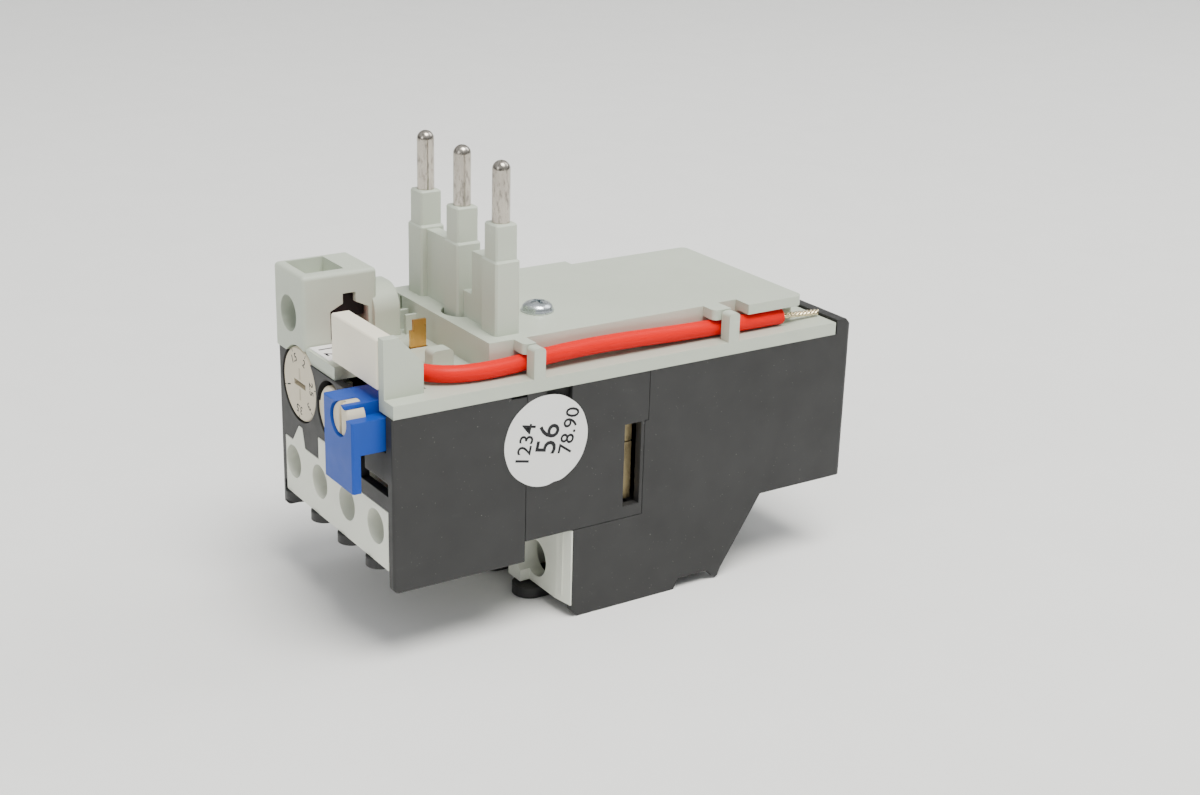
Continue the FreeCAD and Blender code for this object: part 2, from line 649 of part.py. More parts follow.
def adjusting_dial():
    flange = rod((DIAL_X, 0.15, DIAL_Z), EACH_Y, DIAL_R, DIAL_T - 0.15)
    flange = bevel_ring(flange, 0.25, "y", 0.15)
    shaft = rod((DIAL_X, DIAL_T - 0.1, DIAL_Z), EACH_Y, DIAL_SHAFT_R, CAM_Y - DIAL_T)
    half = 1.5
    square = box(DIAL_X - half, DIAL_X + half, CAM_Y - 0.2, CAM_Y + CAM_T, DIAL_Z - half, DIAL_Z + half)
    driver = box(DIAL_X - 2.4, DIAL_X + 2.4, -1, 0.15 + 1.1, DIAL_Z - 0.5, DIAL_Z + 0.5)
    return union(flange, shaft, square).cut(driver)


def dial_cam():
    """Spiral cam: its radius grows evenly over CAM_SWEEP, then drops back."""
    arcs = 4
    low = -radians(CAM_SWEEP) / 2
    spiral = []
    for n in range(2 * arcs + 1):
        share = n / (2 * arcs)
        a = low + radians(CAM_SWEEP) * share
        r = CAM_LOW + CAM_RISE * share
        spiral.append(V(DIAL_X + r * cos(a), CAM_Y, DIAL_Z + r * sin(a)))
    edges = [Part.Arc(*spiral[n:n + 3]).toShape() for n in range(0, 2 * arcs, 2)]
    edges.append(Part.makeLine(spiral[-1], spiral[0]))
    cam = Part.Face(Part.Wire(edges)).extrude(V(0, CAM_T, 0))
    half = 1.5 + FIT
    return cam.cut(box(DIAL_X - half, DIAL_X + half, CAM_Y - 1, CAM_Y + CAM_T + 1,
                       DIAL_Z - half, DIAL_Z + half))


def setting_lever():
    """Lever beside the cam: nose against the spiral, turning on the pin under it."""
    y0 = CAM_Y + 0.1
    y1 = y0 + CAM_T - 0.2
    hub = rod((SETTING_X, y0, SETTING_Z), EACH_Y, 1.9, y1 - y0)
    arm = box(SETTING_X - 0.9, SETTING_X + 0.9, y0, y1, SETTING_Z, DIAL_Z + 1.2)
    nose = rod((SETTING_X - 0.5, y0, DIAL_Z), EACH_Y, 0.8, y1 - y0)
    foot = box(SETTING_X, SETTING_X + 4.4, y0, y1, SETTING_Z - 0.8, SETTING_Z + 0.8)
    return union(hub, arm, nose, foot).cut(
        rod((SETTING_X, y0 - 1, SETTING_Z), EACH_Y, 1.0 + FIT, CAM_T + 2))


def test_button():
    cap = rod((TEST_X, 0.1, TEST_Z), EACH_Y, TEST_R, WALL + 0.6)
    cap = bevel_ring(cap, 0.25, "y", 0.1)
    skirt = rod((TEST_X, 0.3, TEST_Z), EACH_Y, TEST_SKIRT_R, WALL).common(
        box(TEST_X - 9, TEST_X + 9, 0, 9, TEST_Z - 9, TEST_Z + 0.5))
    stem = rod((TEST_X, WALL + 0.5, TEST_Z), EACH_Y, TEST_STEM_R, GUIDE_Y + GUIDE_T + 0.1 - WALL)
    notch = box(TEST_X - 2.2, TEST_X + 2.2, -1, 0.8, TEST_Z - 0.4, TEST_Z + 0.4)
    return union(cap, skirt, stem).cut(notch)


def reset_button():
    head = box(RESET_X0, RESET_X1, -RESET_OUT, RESET_IN, RESET_SPLIT, RESET_TOP)
    rim_step = box(POST_X - CLEAR, RESET_X1 + 1, -RESET_OUT - 1, RESET_IN + 1,
                   RESET_UNDER_RIM, RESET_TOP + 1)
    rear_step = box(RESET_X0 - 1, RESET_X1 + 1, SHELF_GAP[2] - RESET_TRAVEL - CLEAR, RESET_IN + 1,
                    RESET_UNDER_RIM, RESET_TOP + 1)
    tongue = box(RESET_X0, RESET_X1, -RESET_OUT, RESET_TONGUE_T - RESET_OUT, RESET_TIP, RESET_SPLIT + 1)
    body = union(minus(head, rim_step, rear_step), tongue)
    body = soften(body, 0.45, lambda x, y, z, a: near(y, -RESET_OUT) and a == "z")
    stem = rod((reset_stem_x(), RESET_IN - 0.1, reset_stem_z()), EACH_Y, RESET_STEM_R,
               GUIDE_Y + GUIDE_T + 0.6 - RESET_IN)
    seat = rod((SELECT_X, -RESET_OUT - 1, SELECT_Z), EACH_Y, SELECT_R + FIT, SELECT_LEN + 1)
    return body.fuse(stem).cut(seat).removeSplitter()


def selector_knob():
    y = SELECT_SUNK - RESET_OUT
    knob = rod((SELECT_X, y, SELECT_Z), EACH_Y, SELECT_R, SELECT_LEN - SELECT_SUNK)
    knob = bevel_ring(knob, 0.3, "y", y)
    groove = box(SELECT_X - 0.45, SELECT_X + 0.45, y - 1, y + 1.0, SELECT_Z - SELECT_R - 1,
                 SELECT_Z + SELECT_R + 1)
    return knob.cut(groove)


def line_pin(x):
    """Round contact pin with a domed end, flattened strap and rearward tail, for one pole."""
    dome = SLEEVE_TOP + PIN_OUT - PIN_R
    pin = rod((x, PIN_Y, SLEEVE_TOP), EACH_Z, PIN_R, dome - SLEEVE_TOP)
    ball = Part.makeSphere(PIN_R, V(x, PIN_Y, dome), EACH_Z, 0, 90, 360)
    tail = rod((x, PIN_Y, RIM_TOP), EACH_Z, TAIL_R, SLEEVE_TOP - RIM_TOP)
    level = SLIDER_Z + SLIDER_H + 1.0
    strap = box(x - STRAP_W / 2, x + STRAP_W / 2, PIN_Y - STRAP_T / 2, PIN_Y + STRAP_T / 2, level,
                RIM_TOP + 2.0)
    run = box(x - STRAP_W / 2, x + STRAP_W / 2, PIN_Y - STRAP_T / 2, HEATER_START - CLEAR, level,
              level + STRAP_T)
    down = box(x - STRAP_W / 2, x + STRAP_W / 2, HEATER_START - CLEAR - STRAP_T, HEATER_START - CLEAR,
               BIMETAL_Z + BIMETAL_H / 2 + 0.5, level + STRAP_T)
    return union(pin, ball, tail, strap, run, down)


def bimetal_strip(x):
    z0 = BIMETAL_Z - BIMETAL_H / 2
    strip = box(x - BIMETAL_T / 2, x + BIMETAL_T / 2, BIMETAL_TIP_Y, BIMETAL_ROOT_Y + 2.0, z0,
                z0 + BIMETAL_H)
    point = box(x - 2, x + 2, BIMETAL_TIP_Y - 1, BIMETAL_TIP_Y + 3.0, z0 - 1, z0 + 1.5)
    return strip.cut(point)


def heater_winding(x):
    """Flat resistance ribbon wound round the strip, as bands joined by slanting links."""
    inner_x = BIMETAL_T / 2 + 0.15
    inner_z = BIMETAL_H / 2 + 0.15
    outer_x = inner_x + HEATER_T
    outer_z = inner_z + HEATER_T
    bands = []
    for n in range(HEATER_TURNS):
        y = HEATER_START + n * HEATER_PITCH
        ring = box(x - outer_x, x + outer_x, y, y + HEATER_BAND, BIMETAL_Z - outer_z, BIMETAL_Z + outer_z)
        bands.append(ring)
        if n:
            side = 1 if n % 2 else -1
            edge = BIMETAL_Z + side * inner_z
            z0, z1 = sorted((edge, edge + side * HEATER_T))
            bands.append(box(x - outer_x, x + outer_x, y - HEATER_PITCH + HEATER_BAND - 0.1, y + 0.1, z0, z1))
    sleeve = box(x - inner_x, x + inner_x, HEATER_START - 1, HEATER_START + HEATER_TURNS * HEATER_PITCH,
                 BIMETAL_Z - inner_z, BIMETAL_Z + inner_z)
    return union(*bands).cut(sleeve)


def load_strap(x):
    """Load conductor: fork that holds the strip's root, then down and forward to the clamp."""
    y_root = BIMETAL_ROOT_Y
    low = BOX_TOP + WALL
    fork = box(x - STRAP_HALF, x + STRAP_HALF, y_root - 0.4, y_root + 3.2, low,
               BIMETAL_Z + BIMETAL_H / 2 + 1.0)
    gap = box(x - BIMETAL_T / 2 - 0.3, x + BIMETAL_T / 2 + 0.3, y_root - 1, y_root + 2.4,
              BIMETAL_Z - BIMETAL_H / 2 - 0.3, BIMETAL_Z + BIMETAL_H / 2 + 2)
    run = box(x - STRAP_HALF, x + STRAP_HALF, CLAMP_BACK + 0.3, y_root, low, low + 1.2)
    leg = box(x - STRAP_HALF, x + STRAP_HALF, CLAMP_BACK + 0.3, CLAMP_BACK + 1.5, MAIN_TOP_RUN, low + 1.2)
    ledge = box(x - STRAP_HALF, x + STRAP_HALF, strap_face(), CLAMP_BACK + 1.5, MAIN_TOP_RUN,
                MAIN_TOP_RUN + 1.2)
    plate = box(x - 3.4, x + 3.4, strap_face(), strap_face() + 1.2, HEEL_STEP + WALL + 0.4,
                MAIN_TOP_RUN + 1.2)
    hole = rod((x, strap_face() - 1, MAIN_HOLE_Z), EACH_Y, MAIN_SCREW_R + FIT, 4)
    return union(fork.cut(gap), run, leg, ledge, plate).cut(hole)


def strap_face():
    return MAIN_WIRE_Y + MAIN_WIRE_R - 0.6


def main_insert():
    """Light terminal block closing the front of the lower box, with barriers between poles."""
    front = BOX_FRONT - 1.0
    plan = [(-HALF, BOX_FRONT - 0.1), (-HALF, BOX_FRONT - 0.4), (MAIN_BAND_W - HALF, front),
            (HALF - MAIN_BAND_W, front), (HALF, BOX_FRONT - 0.4), (HALF, BOX_FRONT - 0.1)]
    face = prism_z(plan, MAIN_BOTTOM, BOX_TOP - PARTING)
    block = box(-LOW_INNER + PARTING, LOW_INNER - PARTING, front + 0.1, BOX_FRONT + MAIN_D,
                HEEL_STEP + WALL + PARTING, BOX_TOP - PARTING)
    body = face.fuse(block)
    for x in POLES[1:]:
        mid = x + BARRIER_X
        body = body.fuse(box(mid - BARRIER_W / 2, mid + BARRIER_W / 2, front - BARRIER_OUT, front + 1,
                             MAIN_BOTTOM, BOX_TOP - PARTING))
    cuts = []
    for x in POLES:
        cuts.append(rod((x, front - BARRIER_OUT - 1, MAIN_HOLE_Z), EACH_Y, MAIN_HOLE_R, 9))
        cuts.append(box(x - 4.4, x + 4.4, BOX_FRONT + 1.5, BOX_FRONT + MAIN_D + 1,
                        HEEL_STEP, BOX_TOP - 2.0))
    return minus(body, *cuts).removeSplitter()


def main_screws():
    return group([cross_screw(x, MAIN_HEAD_Y, MAIN_HOLE_Z, MAIN_HEAD_R, MAIN_HEAD_H, MAIN_SCREW_R,
                              MAIN_SCREW_LEN) for x in POLES])


def main_clamps():
    frames = []
    y = MAIN_HEAD_Y + MAIN_HEAD_H + FIT
    z0 = HEEL_STEP + WALL + 0.4
    for x in POLES:
        plate = box(x - MAIN_CLAMP_W / 2, x + MAIN_CLAMP_W / 2, y, y + 1.0, z0, MAIN_HOLE_Z + MAIN_CLAMP_UP)
        for side in (-1, 1):
            x0, x1 = sorted((x + side * MAIN_CLAMP_W / 2, x + side * (MAIN_CLAMP_W / 2 - 0.6)))
            plate = plate.fuse(box(x0, x1, y, y + 3.0, z0, MAIN_HOLE_Z + MAIN_CLAMP_UP))
        frames.append(plate.cut(rod((x, y - 1, MAIN_HOLE_Z), EACH_Y, MAIN_SCREW_R + FIT, 4)).removeSplitter())
    return group(frames)


def trip_slider():
    x0 = PIVOT_X + ARM_T / 2 + CLEAR
    bar = box(POLES[0] - 2.2, HALF - WALL - 2.2, SLIDER_Y, SLIDER_Y + SLIDER_D, SLIDER_Z, SLIDER_Z + SLIDER_H)
    tab = box(x0, x0 + 1.4, PIVOT_Y + ARM - 1.6, SLIDER_Y + 0.1, SLIDER_Z, SLIDER_Z + SLIDER_H)
    pieces = [tab]
    low = BIMETAL_Z - BIMETAL_H / 2 + 1.8
    for x in POLES:
        for side in (-1, 1):
            edge = x + side * (BIMETAL_T / 2 + CLEAR)
            a, b = sorted((edge, edge + side * FINGER_T))
            pieces.append(box(a, b, SLIDER_Y, SLIDER_Y + SLIDER_D + 1.4, low, SLIDER_Z + 0.5))
    return union(bar, *pieces)


def slider_end_plate():
    """Gauge strip riveted to the slider's right end, seen through the slot of the side plate."""
    x1 = HALF - WALL - 0.9
    y1 = SLOT_Y + 3.2
    tall = box(x1 - 0.7, x1, y1 - 2.9, y1, SLOT_Z + 0.3, SLIDER_Z + SLIDER_H - 0.4)
    ear = box(HALF - WALL - 2.2, x1, SLIDER_Y + 0.4, y1, SLIDER_Z + 0.4, SLIDER_Z + SLIDER_H - 0.4)
    groove = box(x1 - 0.3, x1 + 1, y1 - 3, y1 + 1, SLOT_Z + 11.2, SLOT_Z + 11.5)
    return union(tall, ear).cut(groove)


def trip_lever():
    """Bell crank: the slider pushes its rearward arm, its other arm pushes the carrier."""
    hub = rod((PIVOT_X, PIVOT_Y, ARM_Z - HUB_DROP), EACH_Z, 2.4 * PIVOT_R, ARM_T + HUB_DROP)
    to_slider = box(PIVOT_X - ARM_T / 2, PIVOT_X + ARM_T / 2, PIVOT_Y, PIVOT_Y + ARM + 0.6, ARM_Z, ARM_Z + ARM_T)
    to_carrier = box(PIVOT_X, PIVOT_X + ARM + 0.6, PIVOT_Y - ARM_T / 2, PIVOT_Y + ARM_T / 2, ARM_Z,
                     ARM_Z + ARM_T)
    brace = prism_z([(PIVOT_X, PIVOT_Y), (PIVOT_X + 5, PIVOT_Y), (PIVOT_X, PIVOT_Y + 5)],
                    ARM_Z, ARM_Z + ARM_T)
    return union(hub, to_slider, to_carrier, brace).cut(
        rod((PIVOT_X, PIVOT_Y, ARM_Z - 5), EACH_Z, PIVOT_R + FIT, 12))


def compensation_strip():
    """Ambient compensating bimetal, riveted along the lever's rearward arm."""
    z0 = ARM_Z - HUB_DROP
    strip = box(PIVOT_X - 1.6, PIVOT_X - ARM_T / 2, PIVOT_Y + 2.6, PIVOT_Y + ARM + 0.6, z0, ARM_Z + ARM_T)
    return strip.cut(rod((PIVOT_X - 3, PIVOT_Y + 5, z0 + 1.4), EACH_X, 0.5, 4))


def lever_pin():
    return rod((PIVOT_X, PIVOT_Y, BOX_TOP + WALL / 2), EACH_Z, PIVOT_R, ARM_Z + ARM_T + 1 - BOX_TOP - WALL / 2)


def top_cover():
    plate = box(-HALF, HALF, 0.3, RIM_END, CASE_TOP, RIM_TOP)
    platform = prism_z([
        (PLAT_LEFT_OUT, PLAT_FRONT), (PLAT_RIGHT, PLAT_FRONT), (PLAT_RIGHT, NOTCH_Y),
        (PLAT_RIGHT - NOTCH_IN, NOTCH_Y), (PLAT_RIGHT - NOTCH_IN, PLAT_WIDE_Y), (PLAT_RIGHT, PLAT_WIDE_Y),
        (PLAT_RIGHT, PLAT_REAR), (PLAT_LEFT, PLAT_REAR), (PLAT_LEFT, PLAT_LEFT_Y),
        (PLAT_LEFT_OUT, PLAT_LEFT_Y)], RIM_TOP - 0.5, PLAT_TOP)
    platform = soften(platform, 1.2, lambda x, y, z, a: a == "z" and near(x, PLAT_LEFT) and near(y, PLAT_REAR))
    flange = box(PLAT_RIGHT - 3, PLAT_WIDE, PLAT_WIDE_Y, PLAT_REAR, PLAT_TOP - PLAT_WIDE_T, PLAT_TOP)
    flange = soften(flange, 1.6, lambda x, y, z, a: a == "z" and near(x, PLAT_WIDE) and near(y, PLAT_REAR))
    platform = platform.fuse(flange)
    for y, deep in zip(HOLD_YS, HOLD_D):
        platform = platform.fuse(hold_down(y, deep))
    hollow = box(PLAT_LEFT + PLAT_SKIN, PLAT_RIGHT - NOTCH_IN - PLAT_SKIN, PLAT_FRONT + PLAT_SKIN,
                 PLAT_REAR - PLAT_SKIN, CASE_TOP - 1, PLAT_TOP - PLAT_SKIN)
    port = rod((POLE_MID_X, PIN_Y, PLAT_TOP - PLAT_SKIN - 1), EACH_Z, PORT_R, 5)
    body = minus(plate.fuse(platform), hollow, port)
    body = body.fuse(rod((SCREW_AT[0], SCREW_AT[1], CASE_TOP), EACH_Z, SCREW_R + 1.7,
                         PLAT_TOP - CASE_TOP - 0.5))
    for side in (-1, 1):
        x0, x1 = sorted((side * (INNER - PARTING), side * (INNER - PARTING - 1.2)))
        body = body.fuse(box(x0, x1, SEAM_Y + 2, RIM_END - 1, CASE_TOP - WALL, CASE_TOP + 0.1))
    for piece in sleeves() + rim_pieces():
        body = body.fuse(piece)
    gap_x0, gap_x1, gap_d = SHELF_GAP
    cuts = [
        box(gap_x0, gap_x1, -1, gap_d, CASE_TOP - 1, RIM_TOP + 1),
        box(-HALF - 1, CUBE_X1 + PARTING, -1, CUBE_D + PARTING, CASE_TOP - 1, RIM_TOP + 1),
        box(LUG_X[0] - PARTING, LUG_X[1] + PARTING, lug_front() - PARTING, CUBE_D + LUG_D + PARTING,
            CASE_TOP - 1, RIM_TOP + 1),
        rod((DIAL_X, -1, DIAL_Z), EACH_Y, DIAL_R + CLEAR, 1 + DIAL_T + CLEAR),
        box(TAB_X - 0.5 * TAB_T - 0.3, TAB_X + 0.5 * TAB_T + 0.3, TAB_Y - 0.3, TAB_Y + TAB_D + 0.3,
            CASE_TOP - 1, RIM_TOP + 1),
        rod((SCREW_AT[0], SCREW_AT[1], CASE_TOP - 1), EACH_Z, SCREW_R + FIT, 20),
        marker_tongue(FIT),
        box(POLES[0] - STRAP_W / 2 - CLEAR, POLES[0], PIN_Y - 2, PIN_Y + 2, CASE_TOP - 1, RIM_TOP + 2 + CLEAR),
        box(-16.0, -15.2, PLAT_FRONT - 1, PLAT_FRONT + 0.8, RIM_TOP + 1.3, PLAT_TOP - 0.3),
    ]
    for x in POLES:
        cuts.append(rod((x, PIN_Y, CASE_TOP - 1), EACH_Z, TAIL_R + FIT, SLEEVE_TOP))
    return minus(body, *cuts).removeSplitter()


def hold_down(y, deep):
    """Tab that reaches over the lead opposite a clip, with a rounded corner."""
    tab = box(PLAT_RIGHT - 1, PLAT_WIDE, y, y + deep, PLAT_TOP - HOLD_T, PLAT_TOP)
    return soften(tab, HOLD_R, lambda px, py, pz, a: a == "z" and near(px, PLAT_WIDE) and near(py, y))


def sleeves():
    """Insulating sleeves of the three pins, and the webs that join them."""
    pieces = []
    for x in POLES:
        foot = box(x - SLEEVE_FOOT_W / 2, x + SLEEVE_FOOT_W / 2, PIN_Y - SLEEVE_FOOT_D / 2,
                   PIN_Y + SLEEVE_FOOT_D / 2, PLAT_TOP - PLAT_SKIN, SLEEVE_STEP)
        foot = foot.makeChamfer(0.35, [e for e in foot.Edges if near(e.BoundBox.ZMax, SLEEVE_STEP)])
        head = box(x - SLEEVE_W / 2, x + SLEEVE_W / 2, PIN_Y - SLEEVE_W / 2, PIN_Y + SLEEVE_W / 2,
                   SLEEVE_STEP - 1, SLEEVE_TOP)
        head = head.makeChamfer(0.3, [e for e in head.Edges if near(e.BoundBox.ZMax, SLEEVE_TOP)])
        pieces += [foot, head]
    for n, x in enumerate(POLES[:2]):
        web = box(x, x + POLE_PITCH, PIN_Y - WEB_T / 2, PIN_Y + WEB_T / 2, PLAT_TOP - PLAT_SKIN,
                  SLEEVE_STEP - 0.6)
        if n:
            web = web.cut(box(x, x + SLEEVE_FOOT_W / 2 + WEB_GAP_W, PIN_Y - WEB_T, PIN_Y + WEB_T,
                              WEB_GAP_Z, SLEEVE_STEP))
        pieces.append(web)
    return pieces


def rim_pieces():
    """Clips of the lead, post of the marker bar, peg and ribs that stand on the rim."""
    clips = [(HALF - CLIP_W, HALF, y - CLIP_T / 2) for y in CLIP_YS]
    pieces = []
    for x0, x1, y in clips:
        clip = box(x0, x1, y, y + CLIP_T, RIM_TOP - 0.5, RIM_TOP + CLIP_H)
        pieces.append(soften(clip, 0.7, lambda x, y, z, a: a == "x" and near(z, RIM_TOP + CLIP_H)))
    pieces.append(prism_x([(0.3, RIM_TOP - 0.5), (POST_D, RIM_TOP - 0.5), (POST_D, POST_REAR_TOP),
                           (POST_D * 0.41, POST_TOP), (0.3, POST_TOP)], POST_X, POST_X + POST_T))
    peg = box(*PEG_X, *PEG_Y, RIM_TOP - 0.5, RIM_TOP + PEG_H)
    pieces.append(soften(peg, PEG_R, lambda x, y, z, a: a == "x" and near(z, RIM_TOP + PEG_H)))
    for x in (-13.4, -10.2):
        pieces.append(box(x, x + 0.8, CUBE_D + LUG_D + 0.9, PLAT_FRONT + 0.5, RIM_TOP - 0.5, RIM_TOP + 3.6))
    return pieces


def cover_screw():
    x, y = SCREW_AT
    head = rod((x, y, PLAT_TOP), EACH_Z, SCREW_HEAD_R, SCREW_HEAD_H)
    head = bevel_ring(head, 0.6, "z", PLAT_TOP + SCREW_HEAD_H)
    shank = rod((x, y, PLAT_TOP - SCREW_LEN), EACH_Z, SCREW_R, SCREW_LEN + 0.1)
    top = PLAT_TOP + SCREW_HEAD_H
    cross = box(x - 1.9, x + 1.9, y - 0.35, y + 0.35, top - 1.1, top + 1).fuse(
        box(x - 0.35, x + 0.35, y - 1.9, y + 1.9, top - 1.1, top + 1))
    return head.fuse(shank).cut(cross).removeSplitter()


def lug_front():
    return CUBE_D - CUBE_R - 0.2


def coil_terminal_block():
    cube = box(CUBE_X0, CUBE_X1, 0, CUBE_D, CASE_TOP, CUBE_TOP)
    cube = soften(cube, CUBE_R, lambda x, y, z, a: a == "z" or near(z, CUBE_TOP))
    lug = box(*LUG_X, lug_front(), CUBE_D + LUG_D, CASE_TOP, LUG_TOP)
    lug = soften(lug, LUG_R, lambda x, y, z, a: a == "y" and near(z, LUG_TOP))
    x0, x1, y0, y1, deep = COIL_WELL
    well = box(x0, x1, y0, y1, CUBE_TOP - deep, CUBE_TOP + 1)
    chamber = box(*COIL_CHAMBER)
    half = MOUTH_W / 2
    slit = MOUTH_SLIT_W / 2
    base = COIL_CHAMBER[4] + 1.3
    mouth = prism_x([
        (MOUTH_Y - half, base), (MOUTH_Y + half, base), (MOUTH_Y + half, MOUTH_TOP),
        (MOUTH_Y + slit, MOUTH_TOP + 1.2), (MOUTH_Y + slit, MOUTH_SLIT_TOP),
        (MOUTH_Y - slit, MOUTH_SLIT_TOP), (MOUTH_Y - slit, MOUTH_TOP + 1.2),
        (MOUTH_Y - half, MOUTH_TOP)], COIL_CHAMBER[1] - 0.5, CUBE_X1 + 1)
    relief = rod((DIAL_X, -1, DIAL_Z), EACH_Y, DIAL_R + CLEAR, 1 + DIAL_T + CLEAR)
    bore = rod((COIL_BORE_X, -1, COIL_BORE_Z), EACH_Y, COIL_BORE_R, COIL_CHAMBER[2] + 1.5)
    return minus(cube.fuse(lug), well, chamber, mouth, relief, bore).removeSplitter()


def coil_terminal_clamp():
    """Box clamp round the end of the lead, pressed from the front by its screw."""
    x0 = COIL_CHAMBER[0] + 0.8
    x1 = COIL_CHAMBER[1] - 2.2
    y0 = COIL_CLAMP_Y
    y1 = COIL_CHAMBER[3] - 0.4
    z0 = COIL_CHAMBER[4] + 0.2
    z1 = COIL_CHAMBER[5] - 0.4
    frame = box(x0, x1, y0, y1, z0, z1).cut(box(x0 - 1, x1 + 1, y0 + 1, y1 - 1, z0 + 1, z1 - 1))
    return frame.cut(rod((COIL_BORE_X, y0 - 1, COIL_BORE_Z), EACH_Y, 1.6 + FIT, 2.5))


def coil_terminal_screw():
    y0 = COIL_CHAMBER[2] + 0.3
    return cross_screw(COIL_BORE_X, y0, COIL_BORE_Z, 2.9, 1.8, 1.6, COIL_CLAMP_Y + 1.0 - y0 - 1.8)


def marker_tongue(gap):
    y0 = MARKER_D * 0.3
    y1 = MARKER_D * 0.75
    return box(MARKER_X1 - 0.2, POST_X + POST_T / 2 + gap, y0 - gap, y1 + gap, MARKER_Z0 + 1 - gap,
               MARKER_Z1 - 2 + gap)


def marker_bar():
    bar = box(MARKER_X0, MARKER_X1, 0, MARKER_D, MARKER_Z0, MARKER_Z1)
    bar = bar.makeChamfer(0.25, bar.Edges)
    return bar.fuse(marker_tongue(0)).removeSplitter()


def terminal_label():
    return box(CUBE_X1 + 0.3, CUBE_X1 + 8.3, 0.9, 6.0, RIM_TOP, RIM_TOP + 0.15)


def contact_tab():
    """Bent contact strip that comes up through the cover beside the lead."""
    x0 = TAB_X - TAB_T / 2
    x1 = TAB_X + TAB_T / 2
    tab = prism_x([(TAB_Y, CASE_TOP - 2.4), (TAB_Y + TAB_D, CASE_TOP - 2.4), (TAB_Y + TAB_D, TAB_TOP),
                   (TAB_Y + 0.6, TAB_TOP), (TAB_Y + 0.6, TAB_TOP - 1.9), (TAB_Y, TAB_TOP - 1.9)], x0, x1)
    foot = box(x0 - 2.0, x1 + 1.4, TAB_Y, TAB_Y + TAB_D, CASE_TOP - 0.9, CASE_TOP)
    return tab.fuse(foot).removeSplitter()


def tube(points, radius):
    """Round tube along straight runs joined by tangent arcs."""
    spots = [V(*p) for p in points]
    edges = []
    last = spots[0]
    for n in range(1, len(spots) - 1):
        before = spots[n] - spots[n - 1]
        after = spots[n + 1] - spots[n]
        reach = 0.45 * min(before.Length, after.Length)
        before.normalize()
        after.normalize()
        half = acos(max(-1.0, min(1.0, before.dot(after)))) / 2
        bend = reach / tan(half)
        inward = (after - before).normalize()
        start = spots[n] - before * reach
        end = spots[n] + after * reach
        middle = spots[n] + inward * (bend / cos(half) - bend)
        edges.append(Part.LineSegment(last, start).toShape())
        edges.append(Part.Arc(start, middle, end).toShape())
        last = end
        print("bend radius %.1f" % bend)
    edges.append(Part.LineSegment(last, spots[-1]).toShape())
    path = Part.Wire(edges)
    along = (spots[1] - spots[0]).normalize()
    section = Part.Wire([Part.makeCircle(radius, spots[0], along)])
    body = path.makePipeShell([section], True, False)
    print("tube volume %.1f, section x length %.1f" % (body.Volume, 3.14159265 * radius ** 2 * path.Length))
    print("tube length %.1f" % path.Length)
    return body


def lead_wire():
    return tube(LEAD, LEAD_R)


def lead_strands():
    return tube(STRANDS, STRAND_R)


def inspection_sticker():
    return rod((HALF, STICKER_Y, STICKER_Z), EACH_X, STICKER_R, STICKER_T)


def export(name, shape):
    """Write one piece in the part's frame."""
    moved = shape.copy()
    moved.translate(V(-POLE_MID_X, -PIN_Y, -SLEEVE_TOP))
    moved.exportStep(os.path.join("parts", name + ".step"))


os.makedirs("parts", exist_ok=True)
pieces = {
    "rear_case": rear_case(),
    "front_case": front_case(),
    "side_plate": side_plate(),
    "top_cover": top_cover(),
    "cover_screw": cover_screw(),
    "coil_terminal_block": coil_terminal_block(),
    "coil_terminal_clamp": coil_terminal_clamp(),
    "coil_terminal_screw": coil_terminal_screw(),
    "marker_bar": marker_bar(),
    "terminal_label": terminal_label(),
    "contact_tab": contact_tab(),
    "lead_wire": lead_wire(),
    "lead_strands": lead_strands(),
    "inspection_sticker": inspection_sticker(),
    "adjusting_dial": adjusting_dial(),
    "dial_cam": dial_cam(),
    "setting_lever": setting_lever(),
    "test_button": test_button(),
    "reset_button": reset_button(),
    "selector_knob": selector_knob(),
    "aux_insert": aux_insert(),
    "aux_screws": aux_screws(),
    "aux_clamps": aux_clamps(),
    "nc_contacts": fixed_contacts(AUX_XS[:2], NC_FACE - 0.5, -1),
    "no_contacts": fixed_contacts(AUX_XS[2:], NO_FACE + 0.5, 1),
    "contact_carrier": contact_carrier(),
    "nc_bridge": contact_bridge(AUX_XS[0], AUX_XS[1], CARRIER_Y, -1),
    "no_bridge": contact_bridge(AUX_XS[2], AUX_XS[3], CARRIER_Y + CARRIER_D, 1),
    "main_insert": main_insert(),
    "main_screws": main_screws(),
    "main_clamps": main_clamps(),
    "trip_slider": trip_slider(),
    "slider_end_plate": slider_end_plate(),
    "trip_lever": trip_lever(),
    "compensation_strip": compensation_strip(),
    "lever_pin": lever_pin(),
}
for n, x in enumerate(POLES, 1):
    pieces["line_pin_l%d" % n] = line_pin(x)
    pieces["load_strap_%d" % n] = load_strap(x)
    pieces["bimetal_%d" % n] = bimetal_strip(x)
    pieces["heater_winding_%d" % n] = heater_winding(x)
for name, shape in pieces.items():
    export(name, shape)
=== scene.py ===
"""Looks of the thermal overload relay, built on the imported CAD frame.

Places and sizes are in millimetres in the part's lay-out frame, unless they say metres: x to
the right from the middle of the case, y to the rear from the front face, z up from the
underside.  at() turns a place into the frame's metres.
"""
import math

import bmesh
import bpy
from mathutils import Matrix, Vector


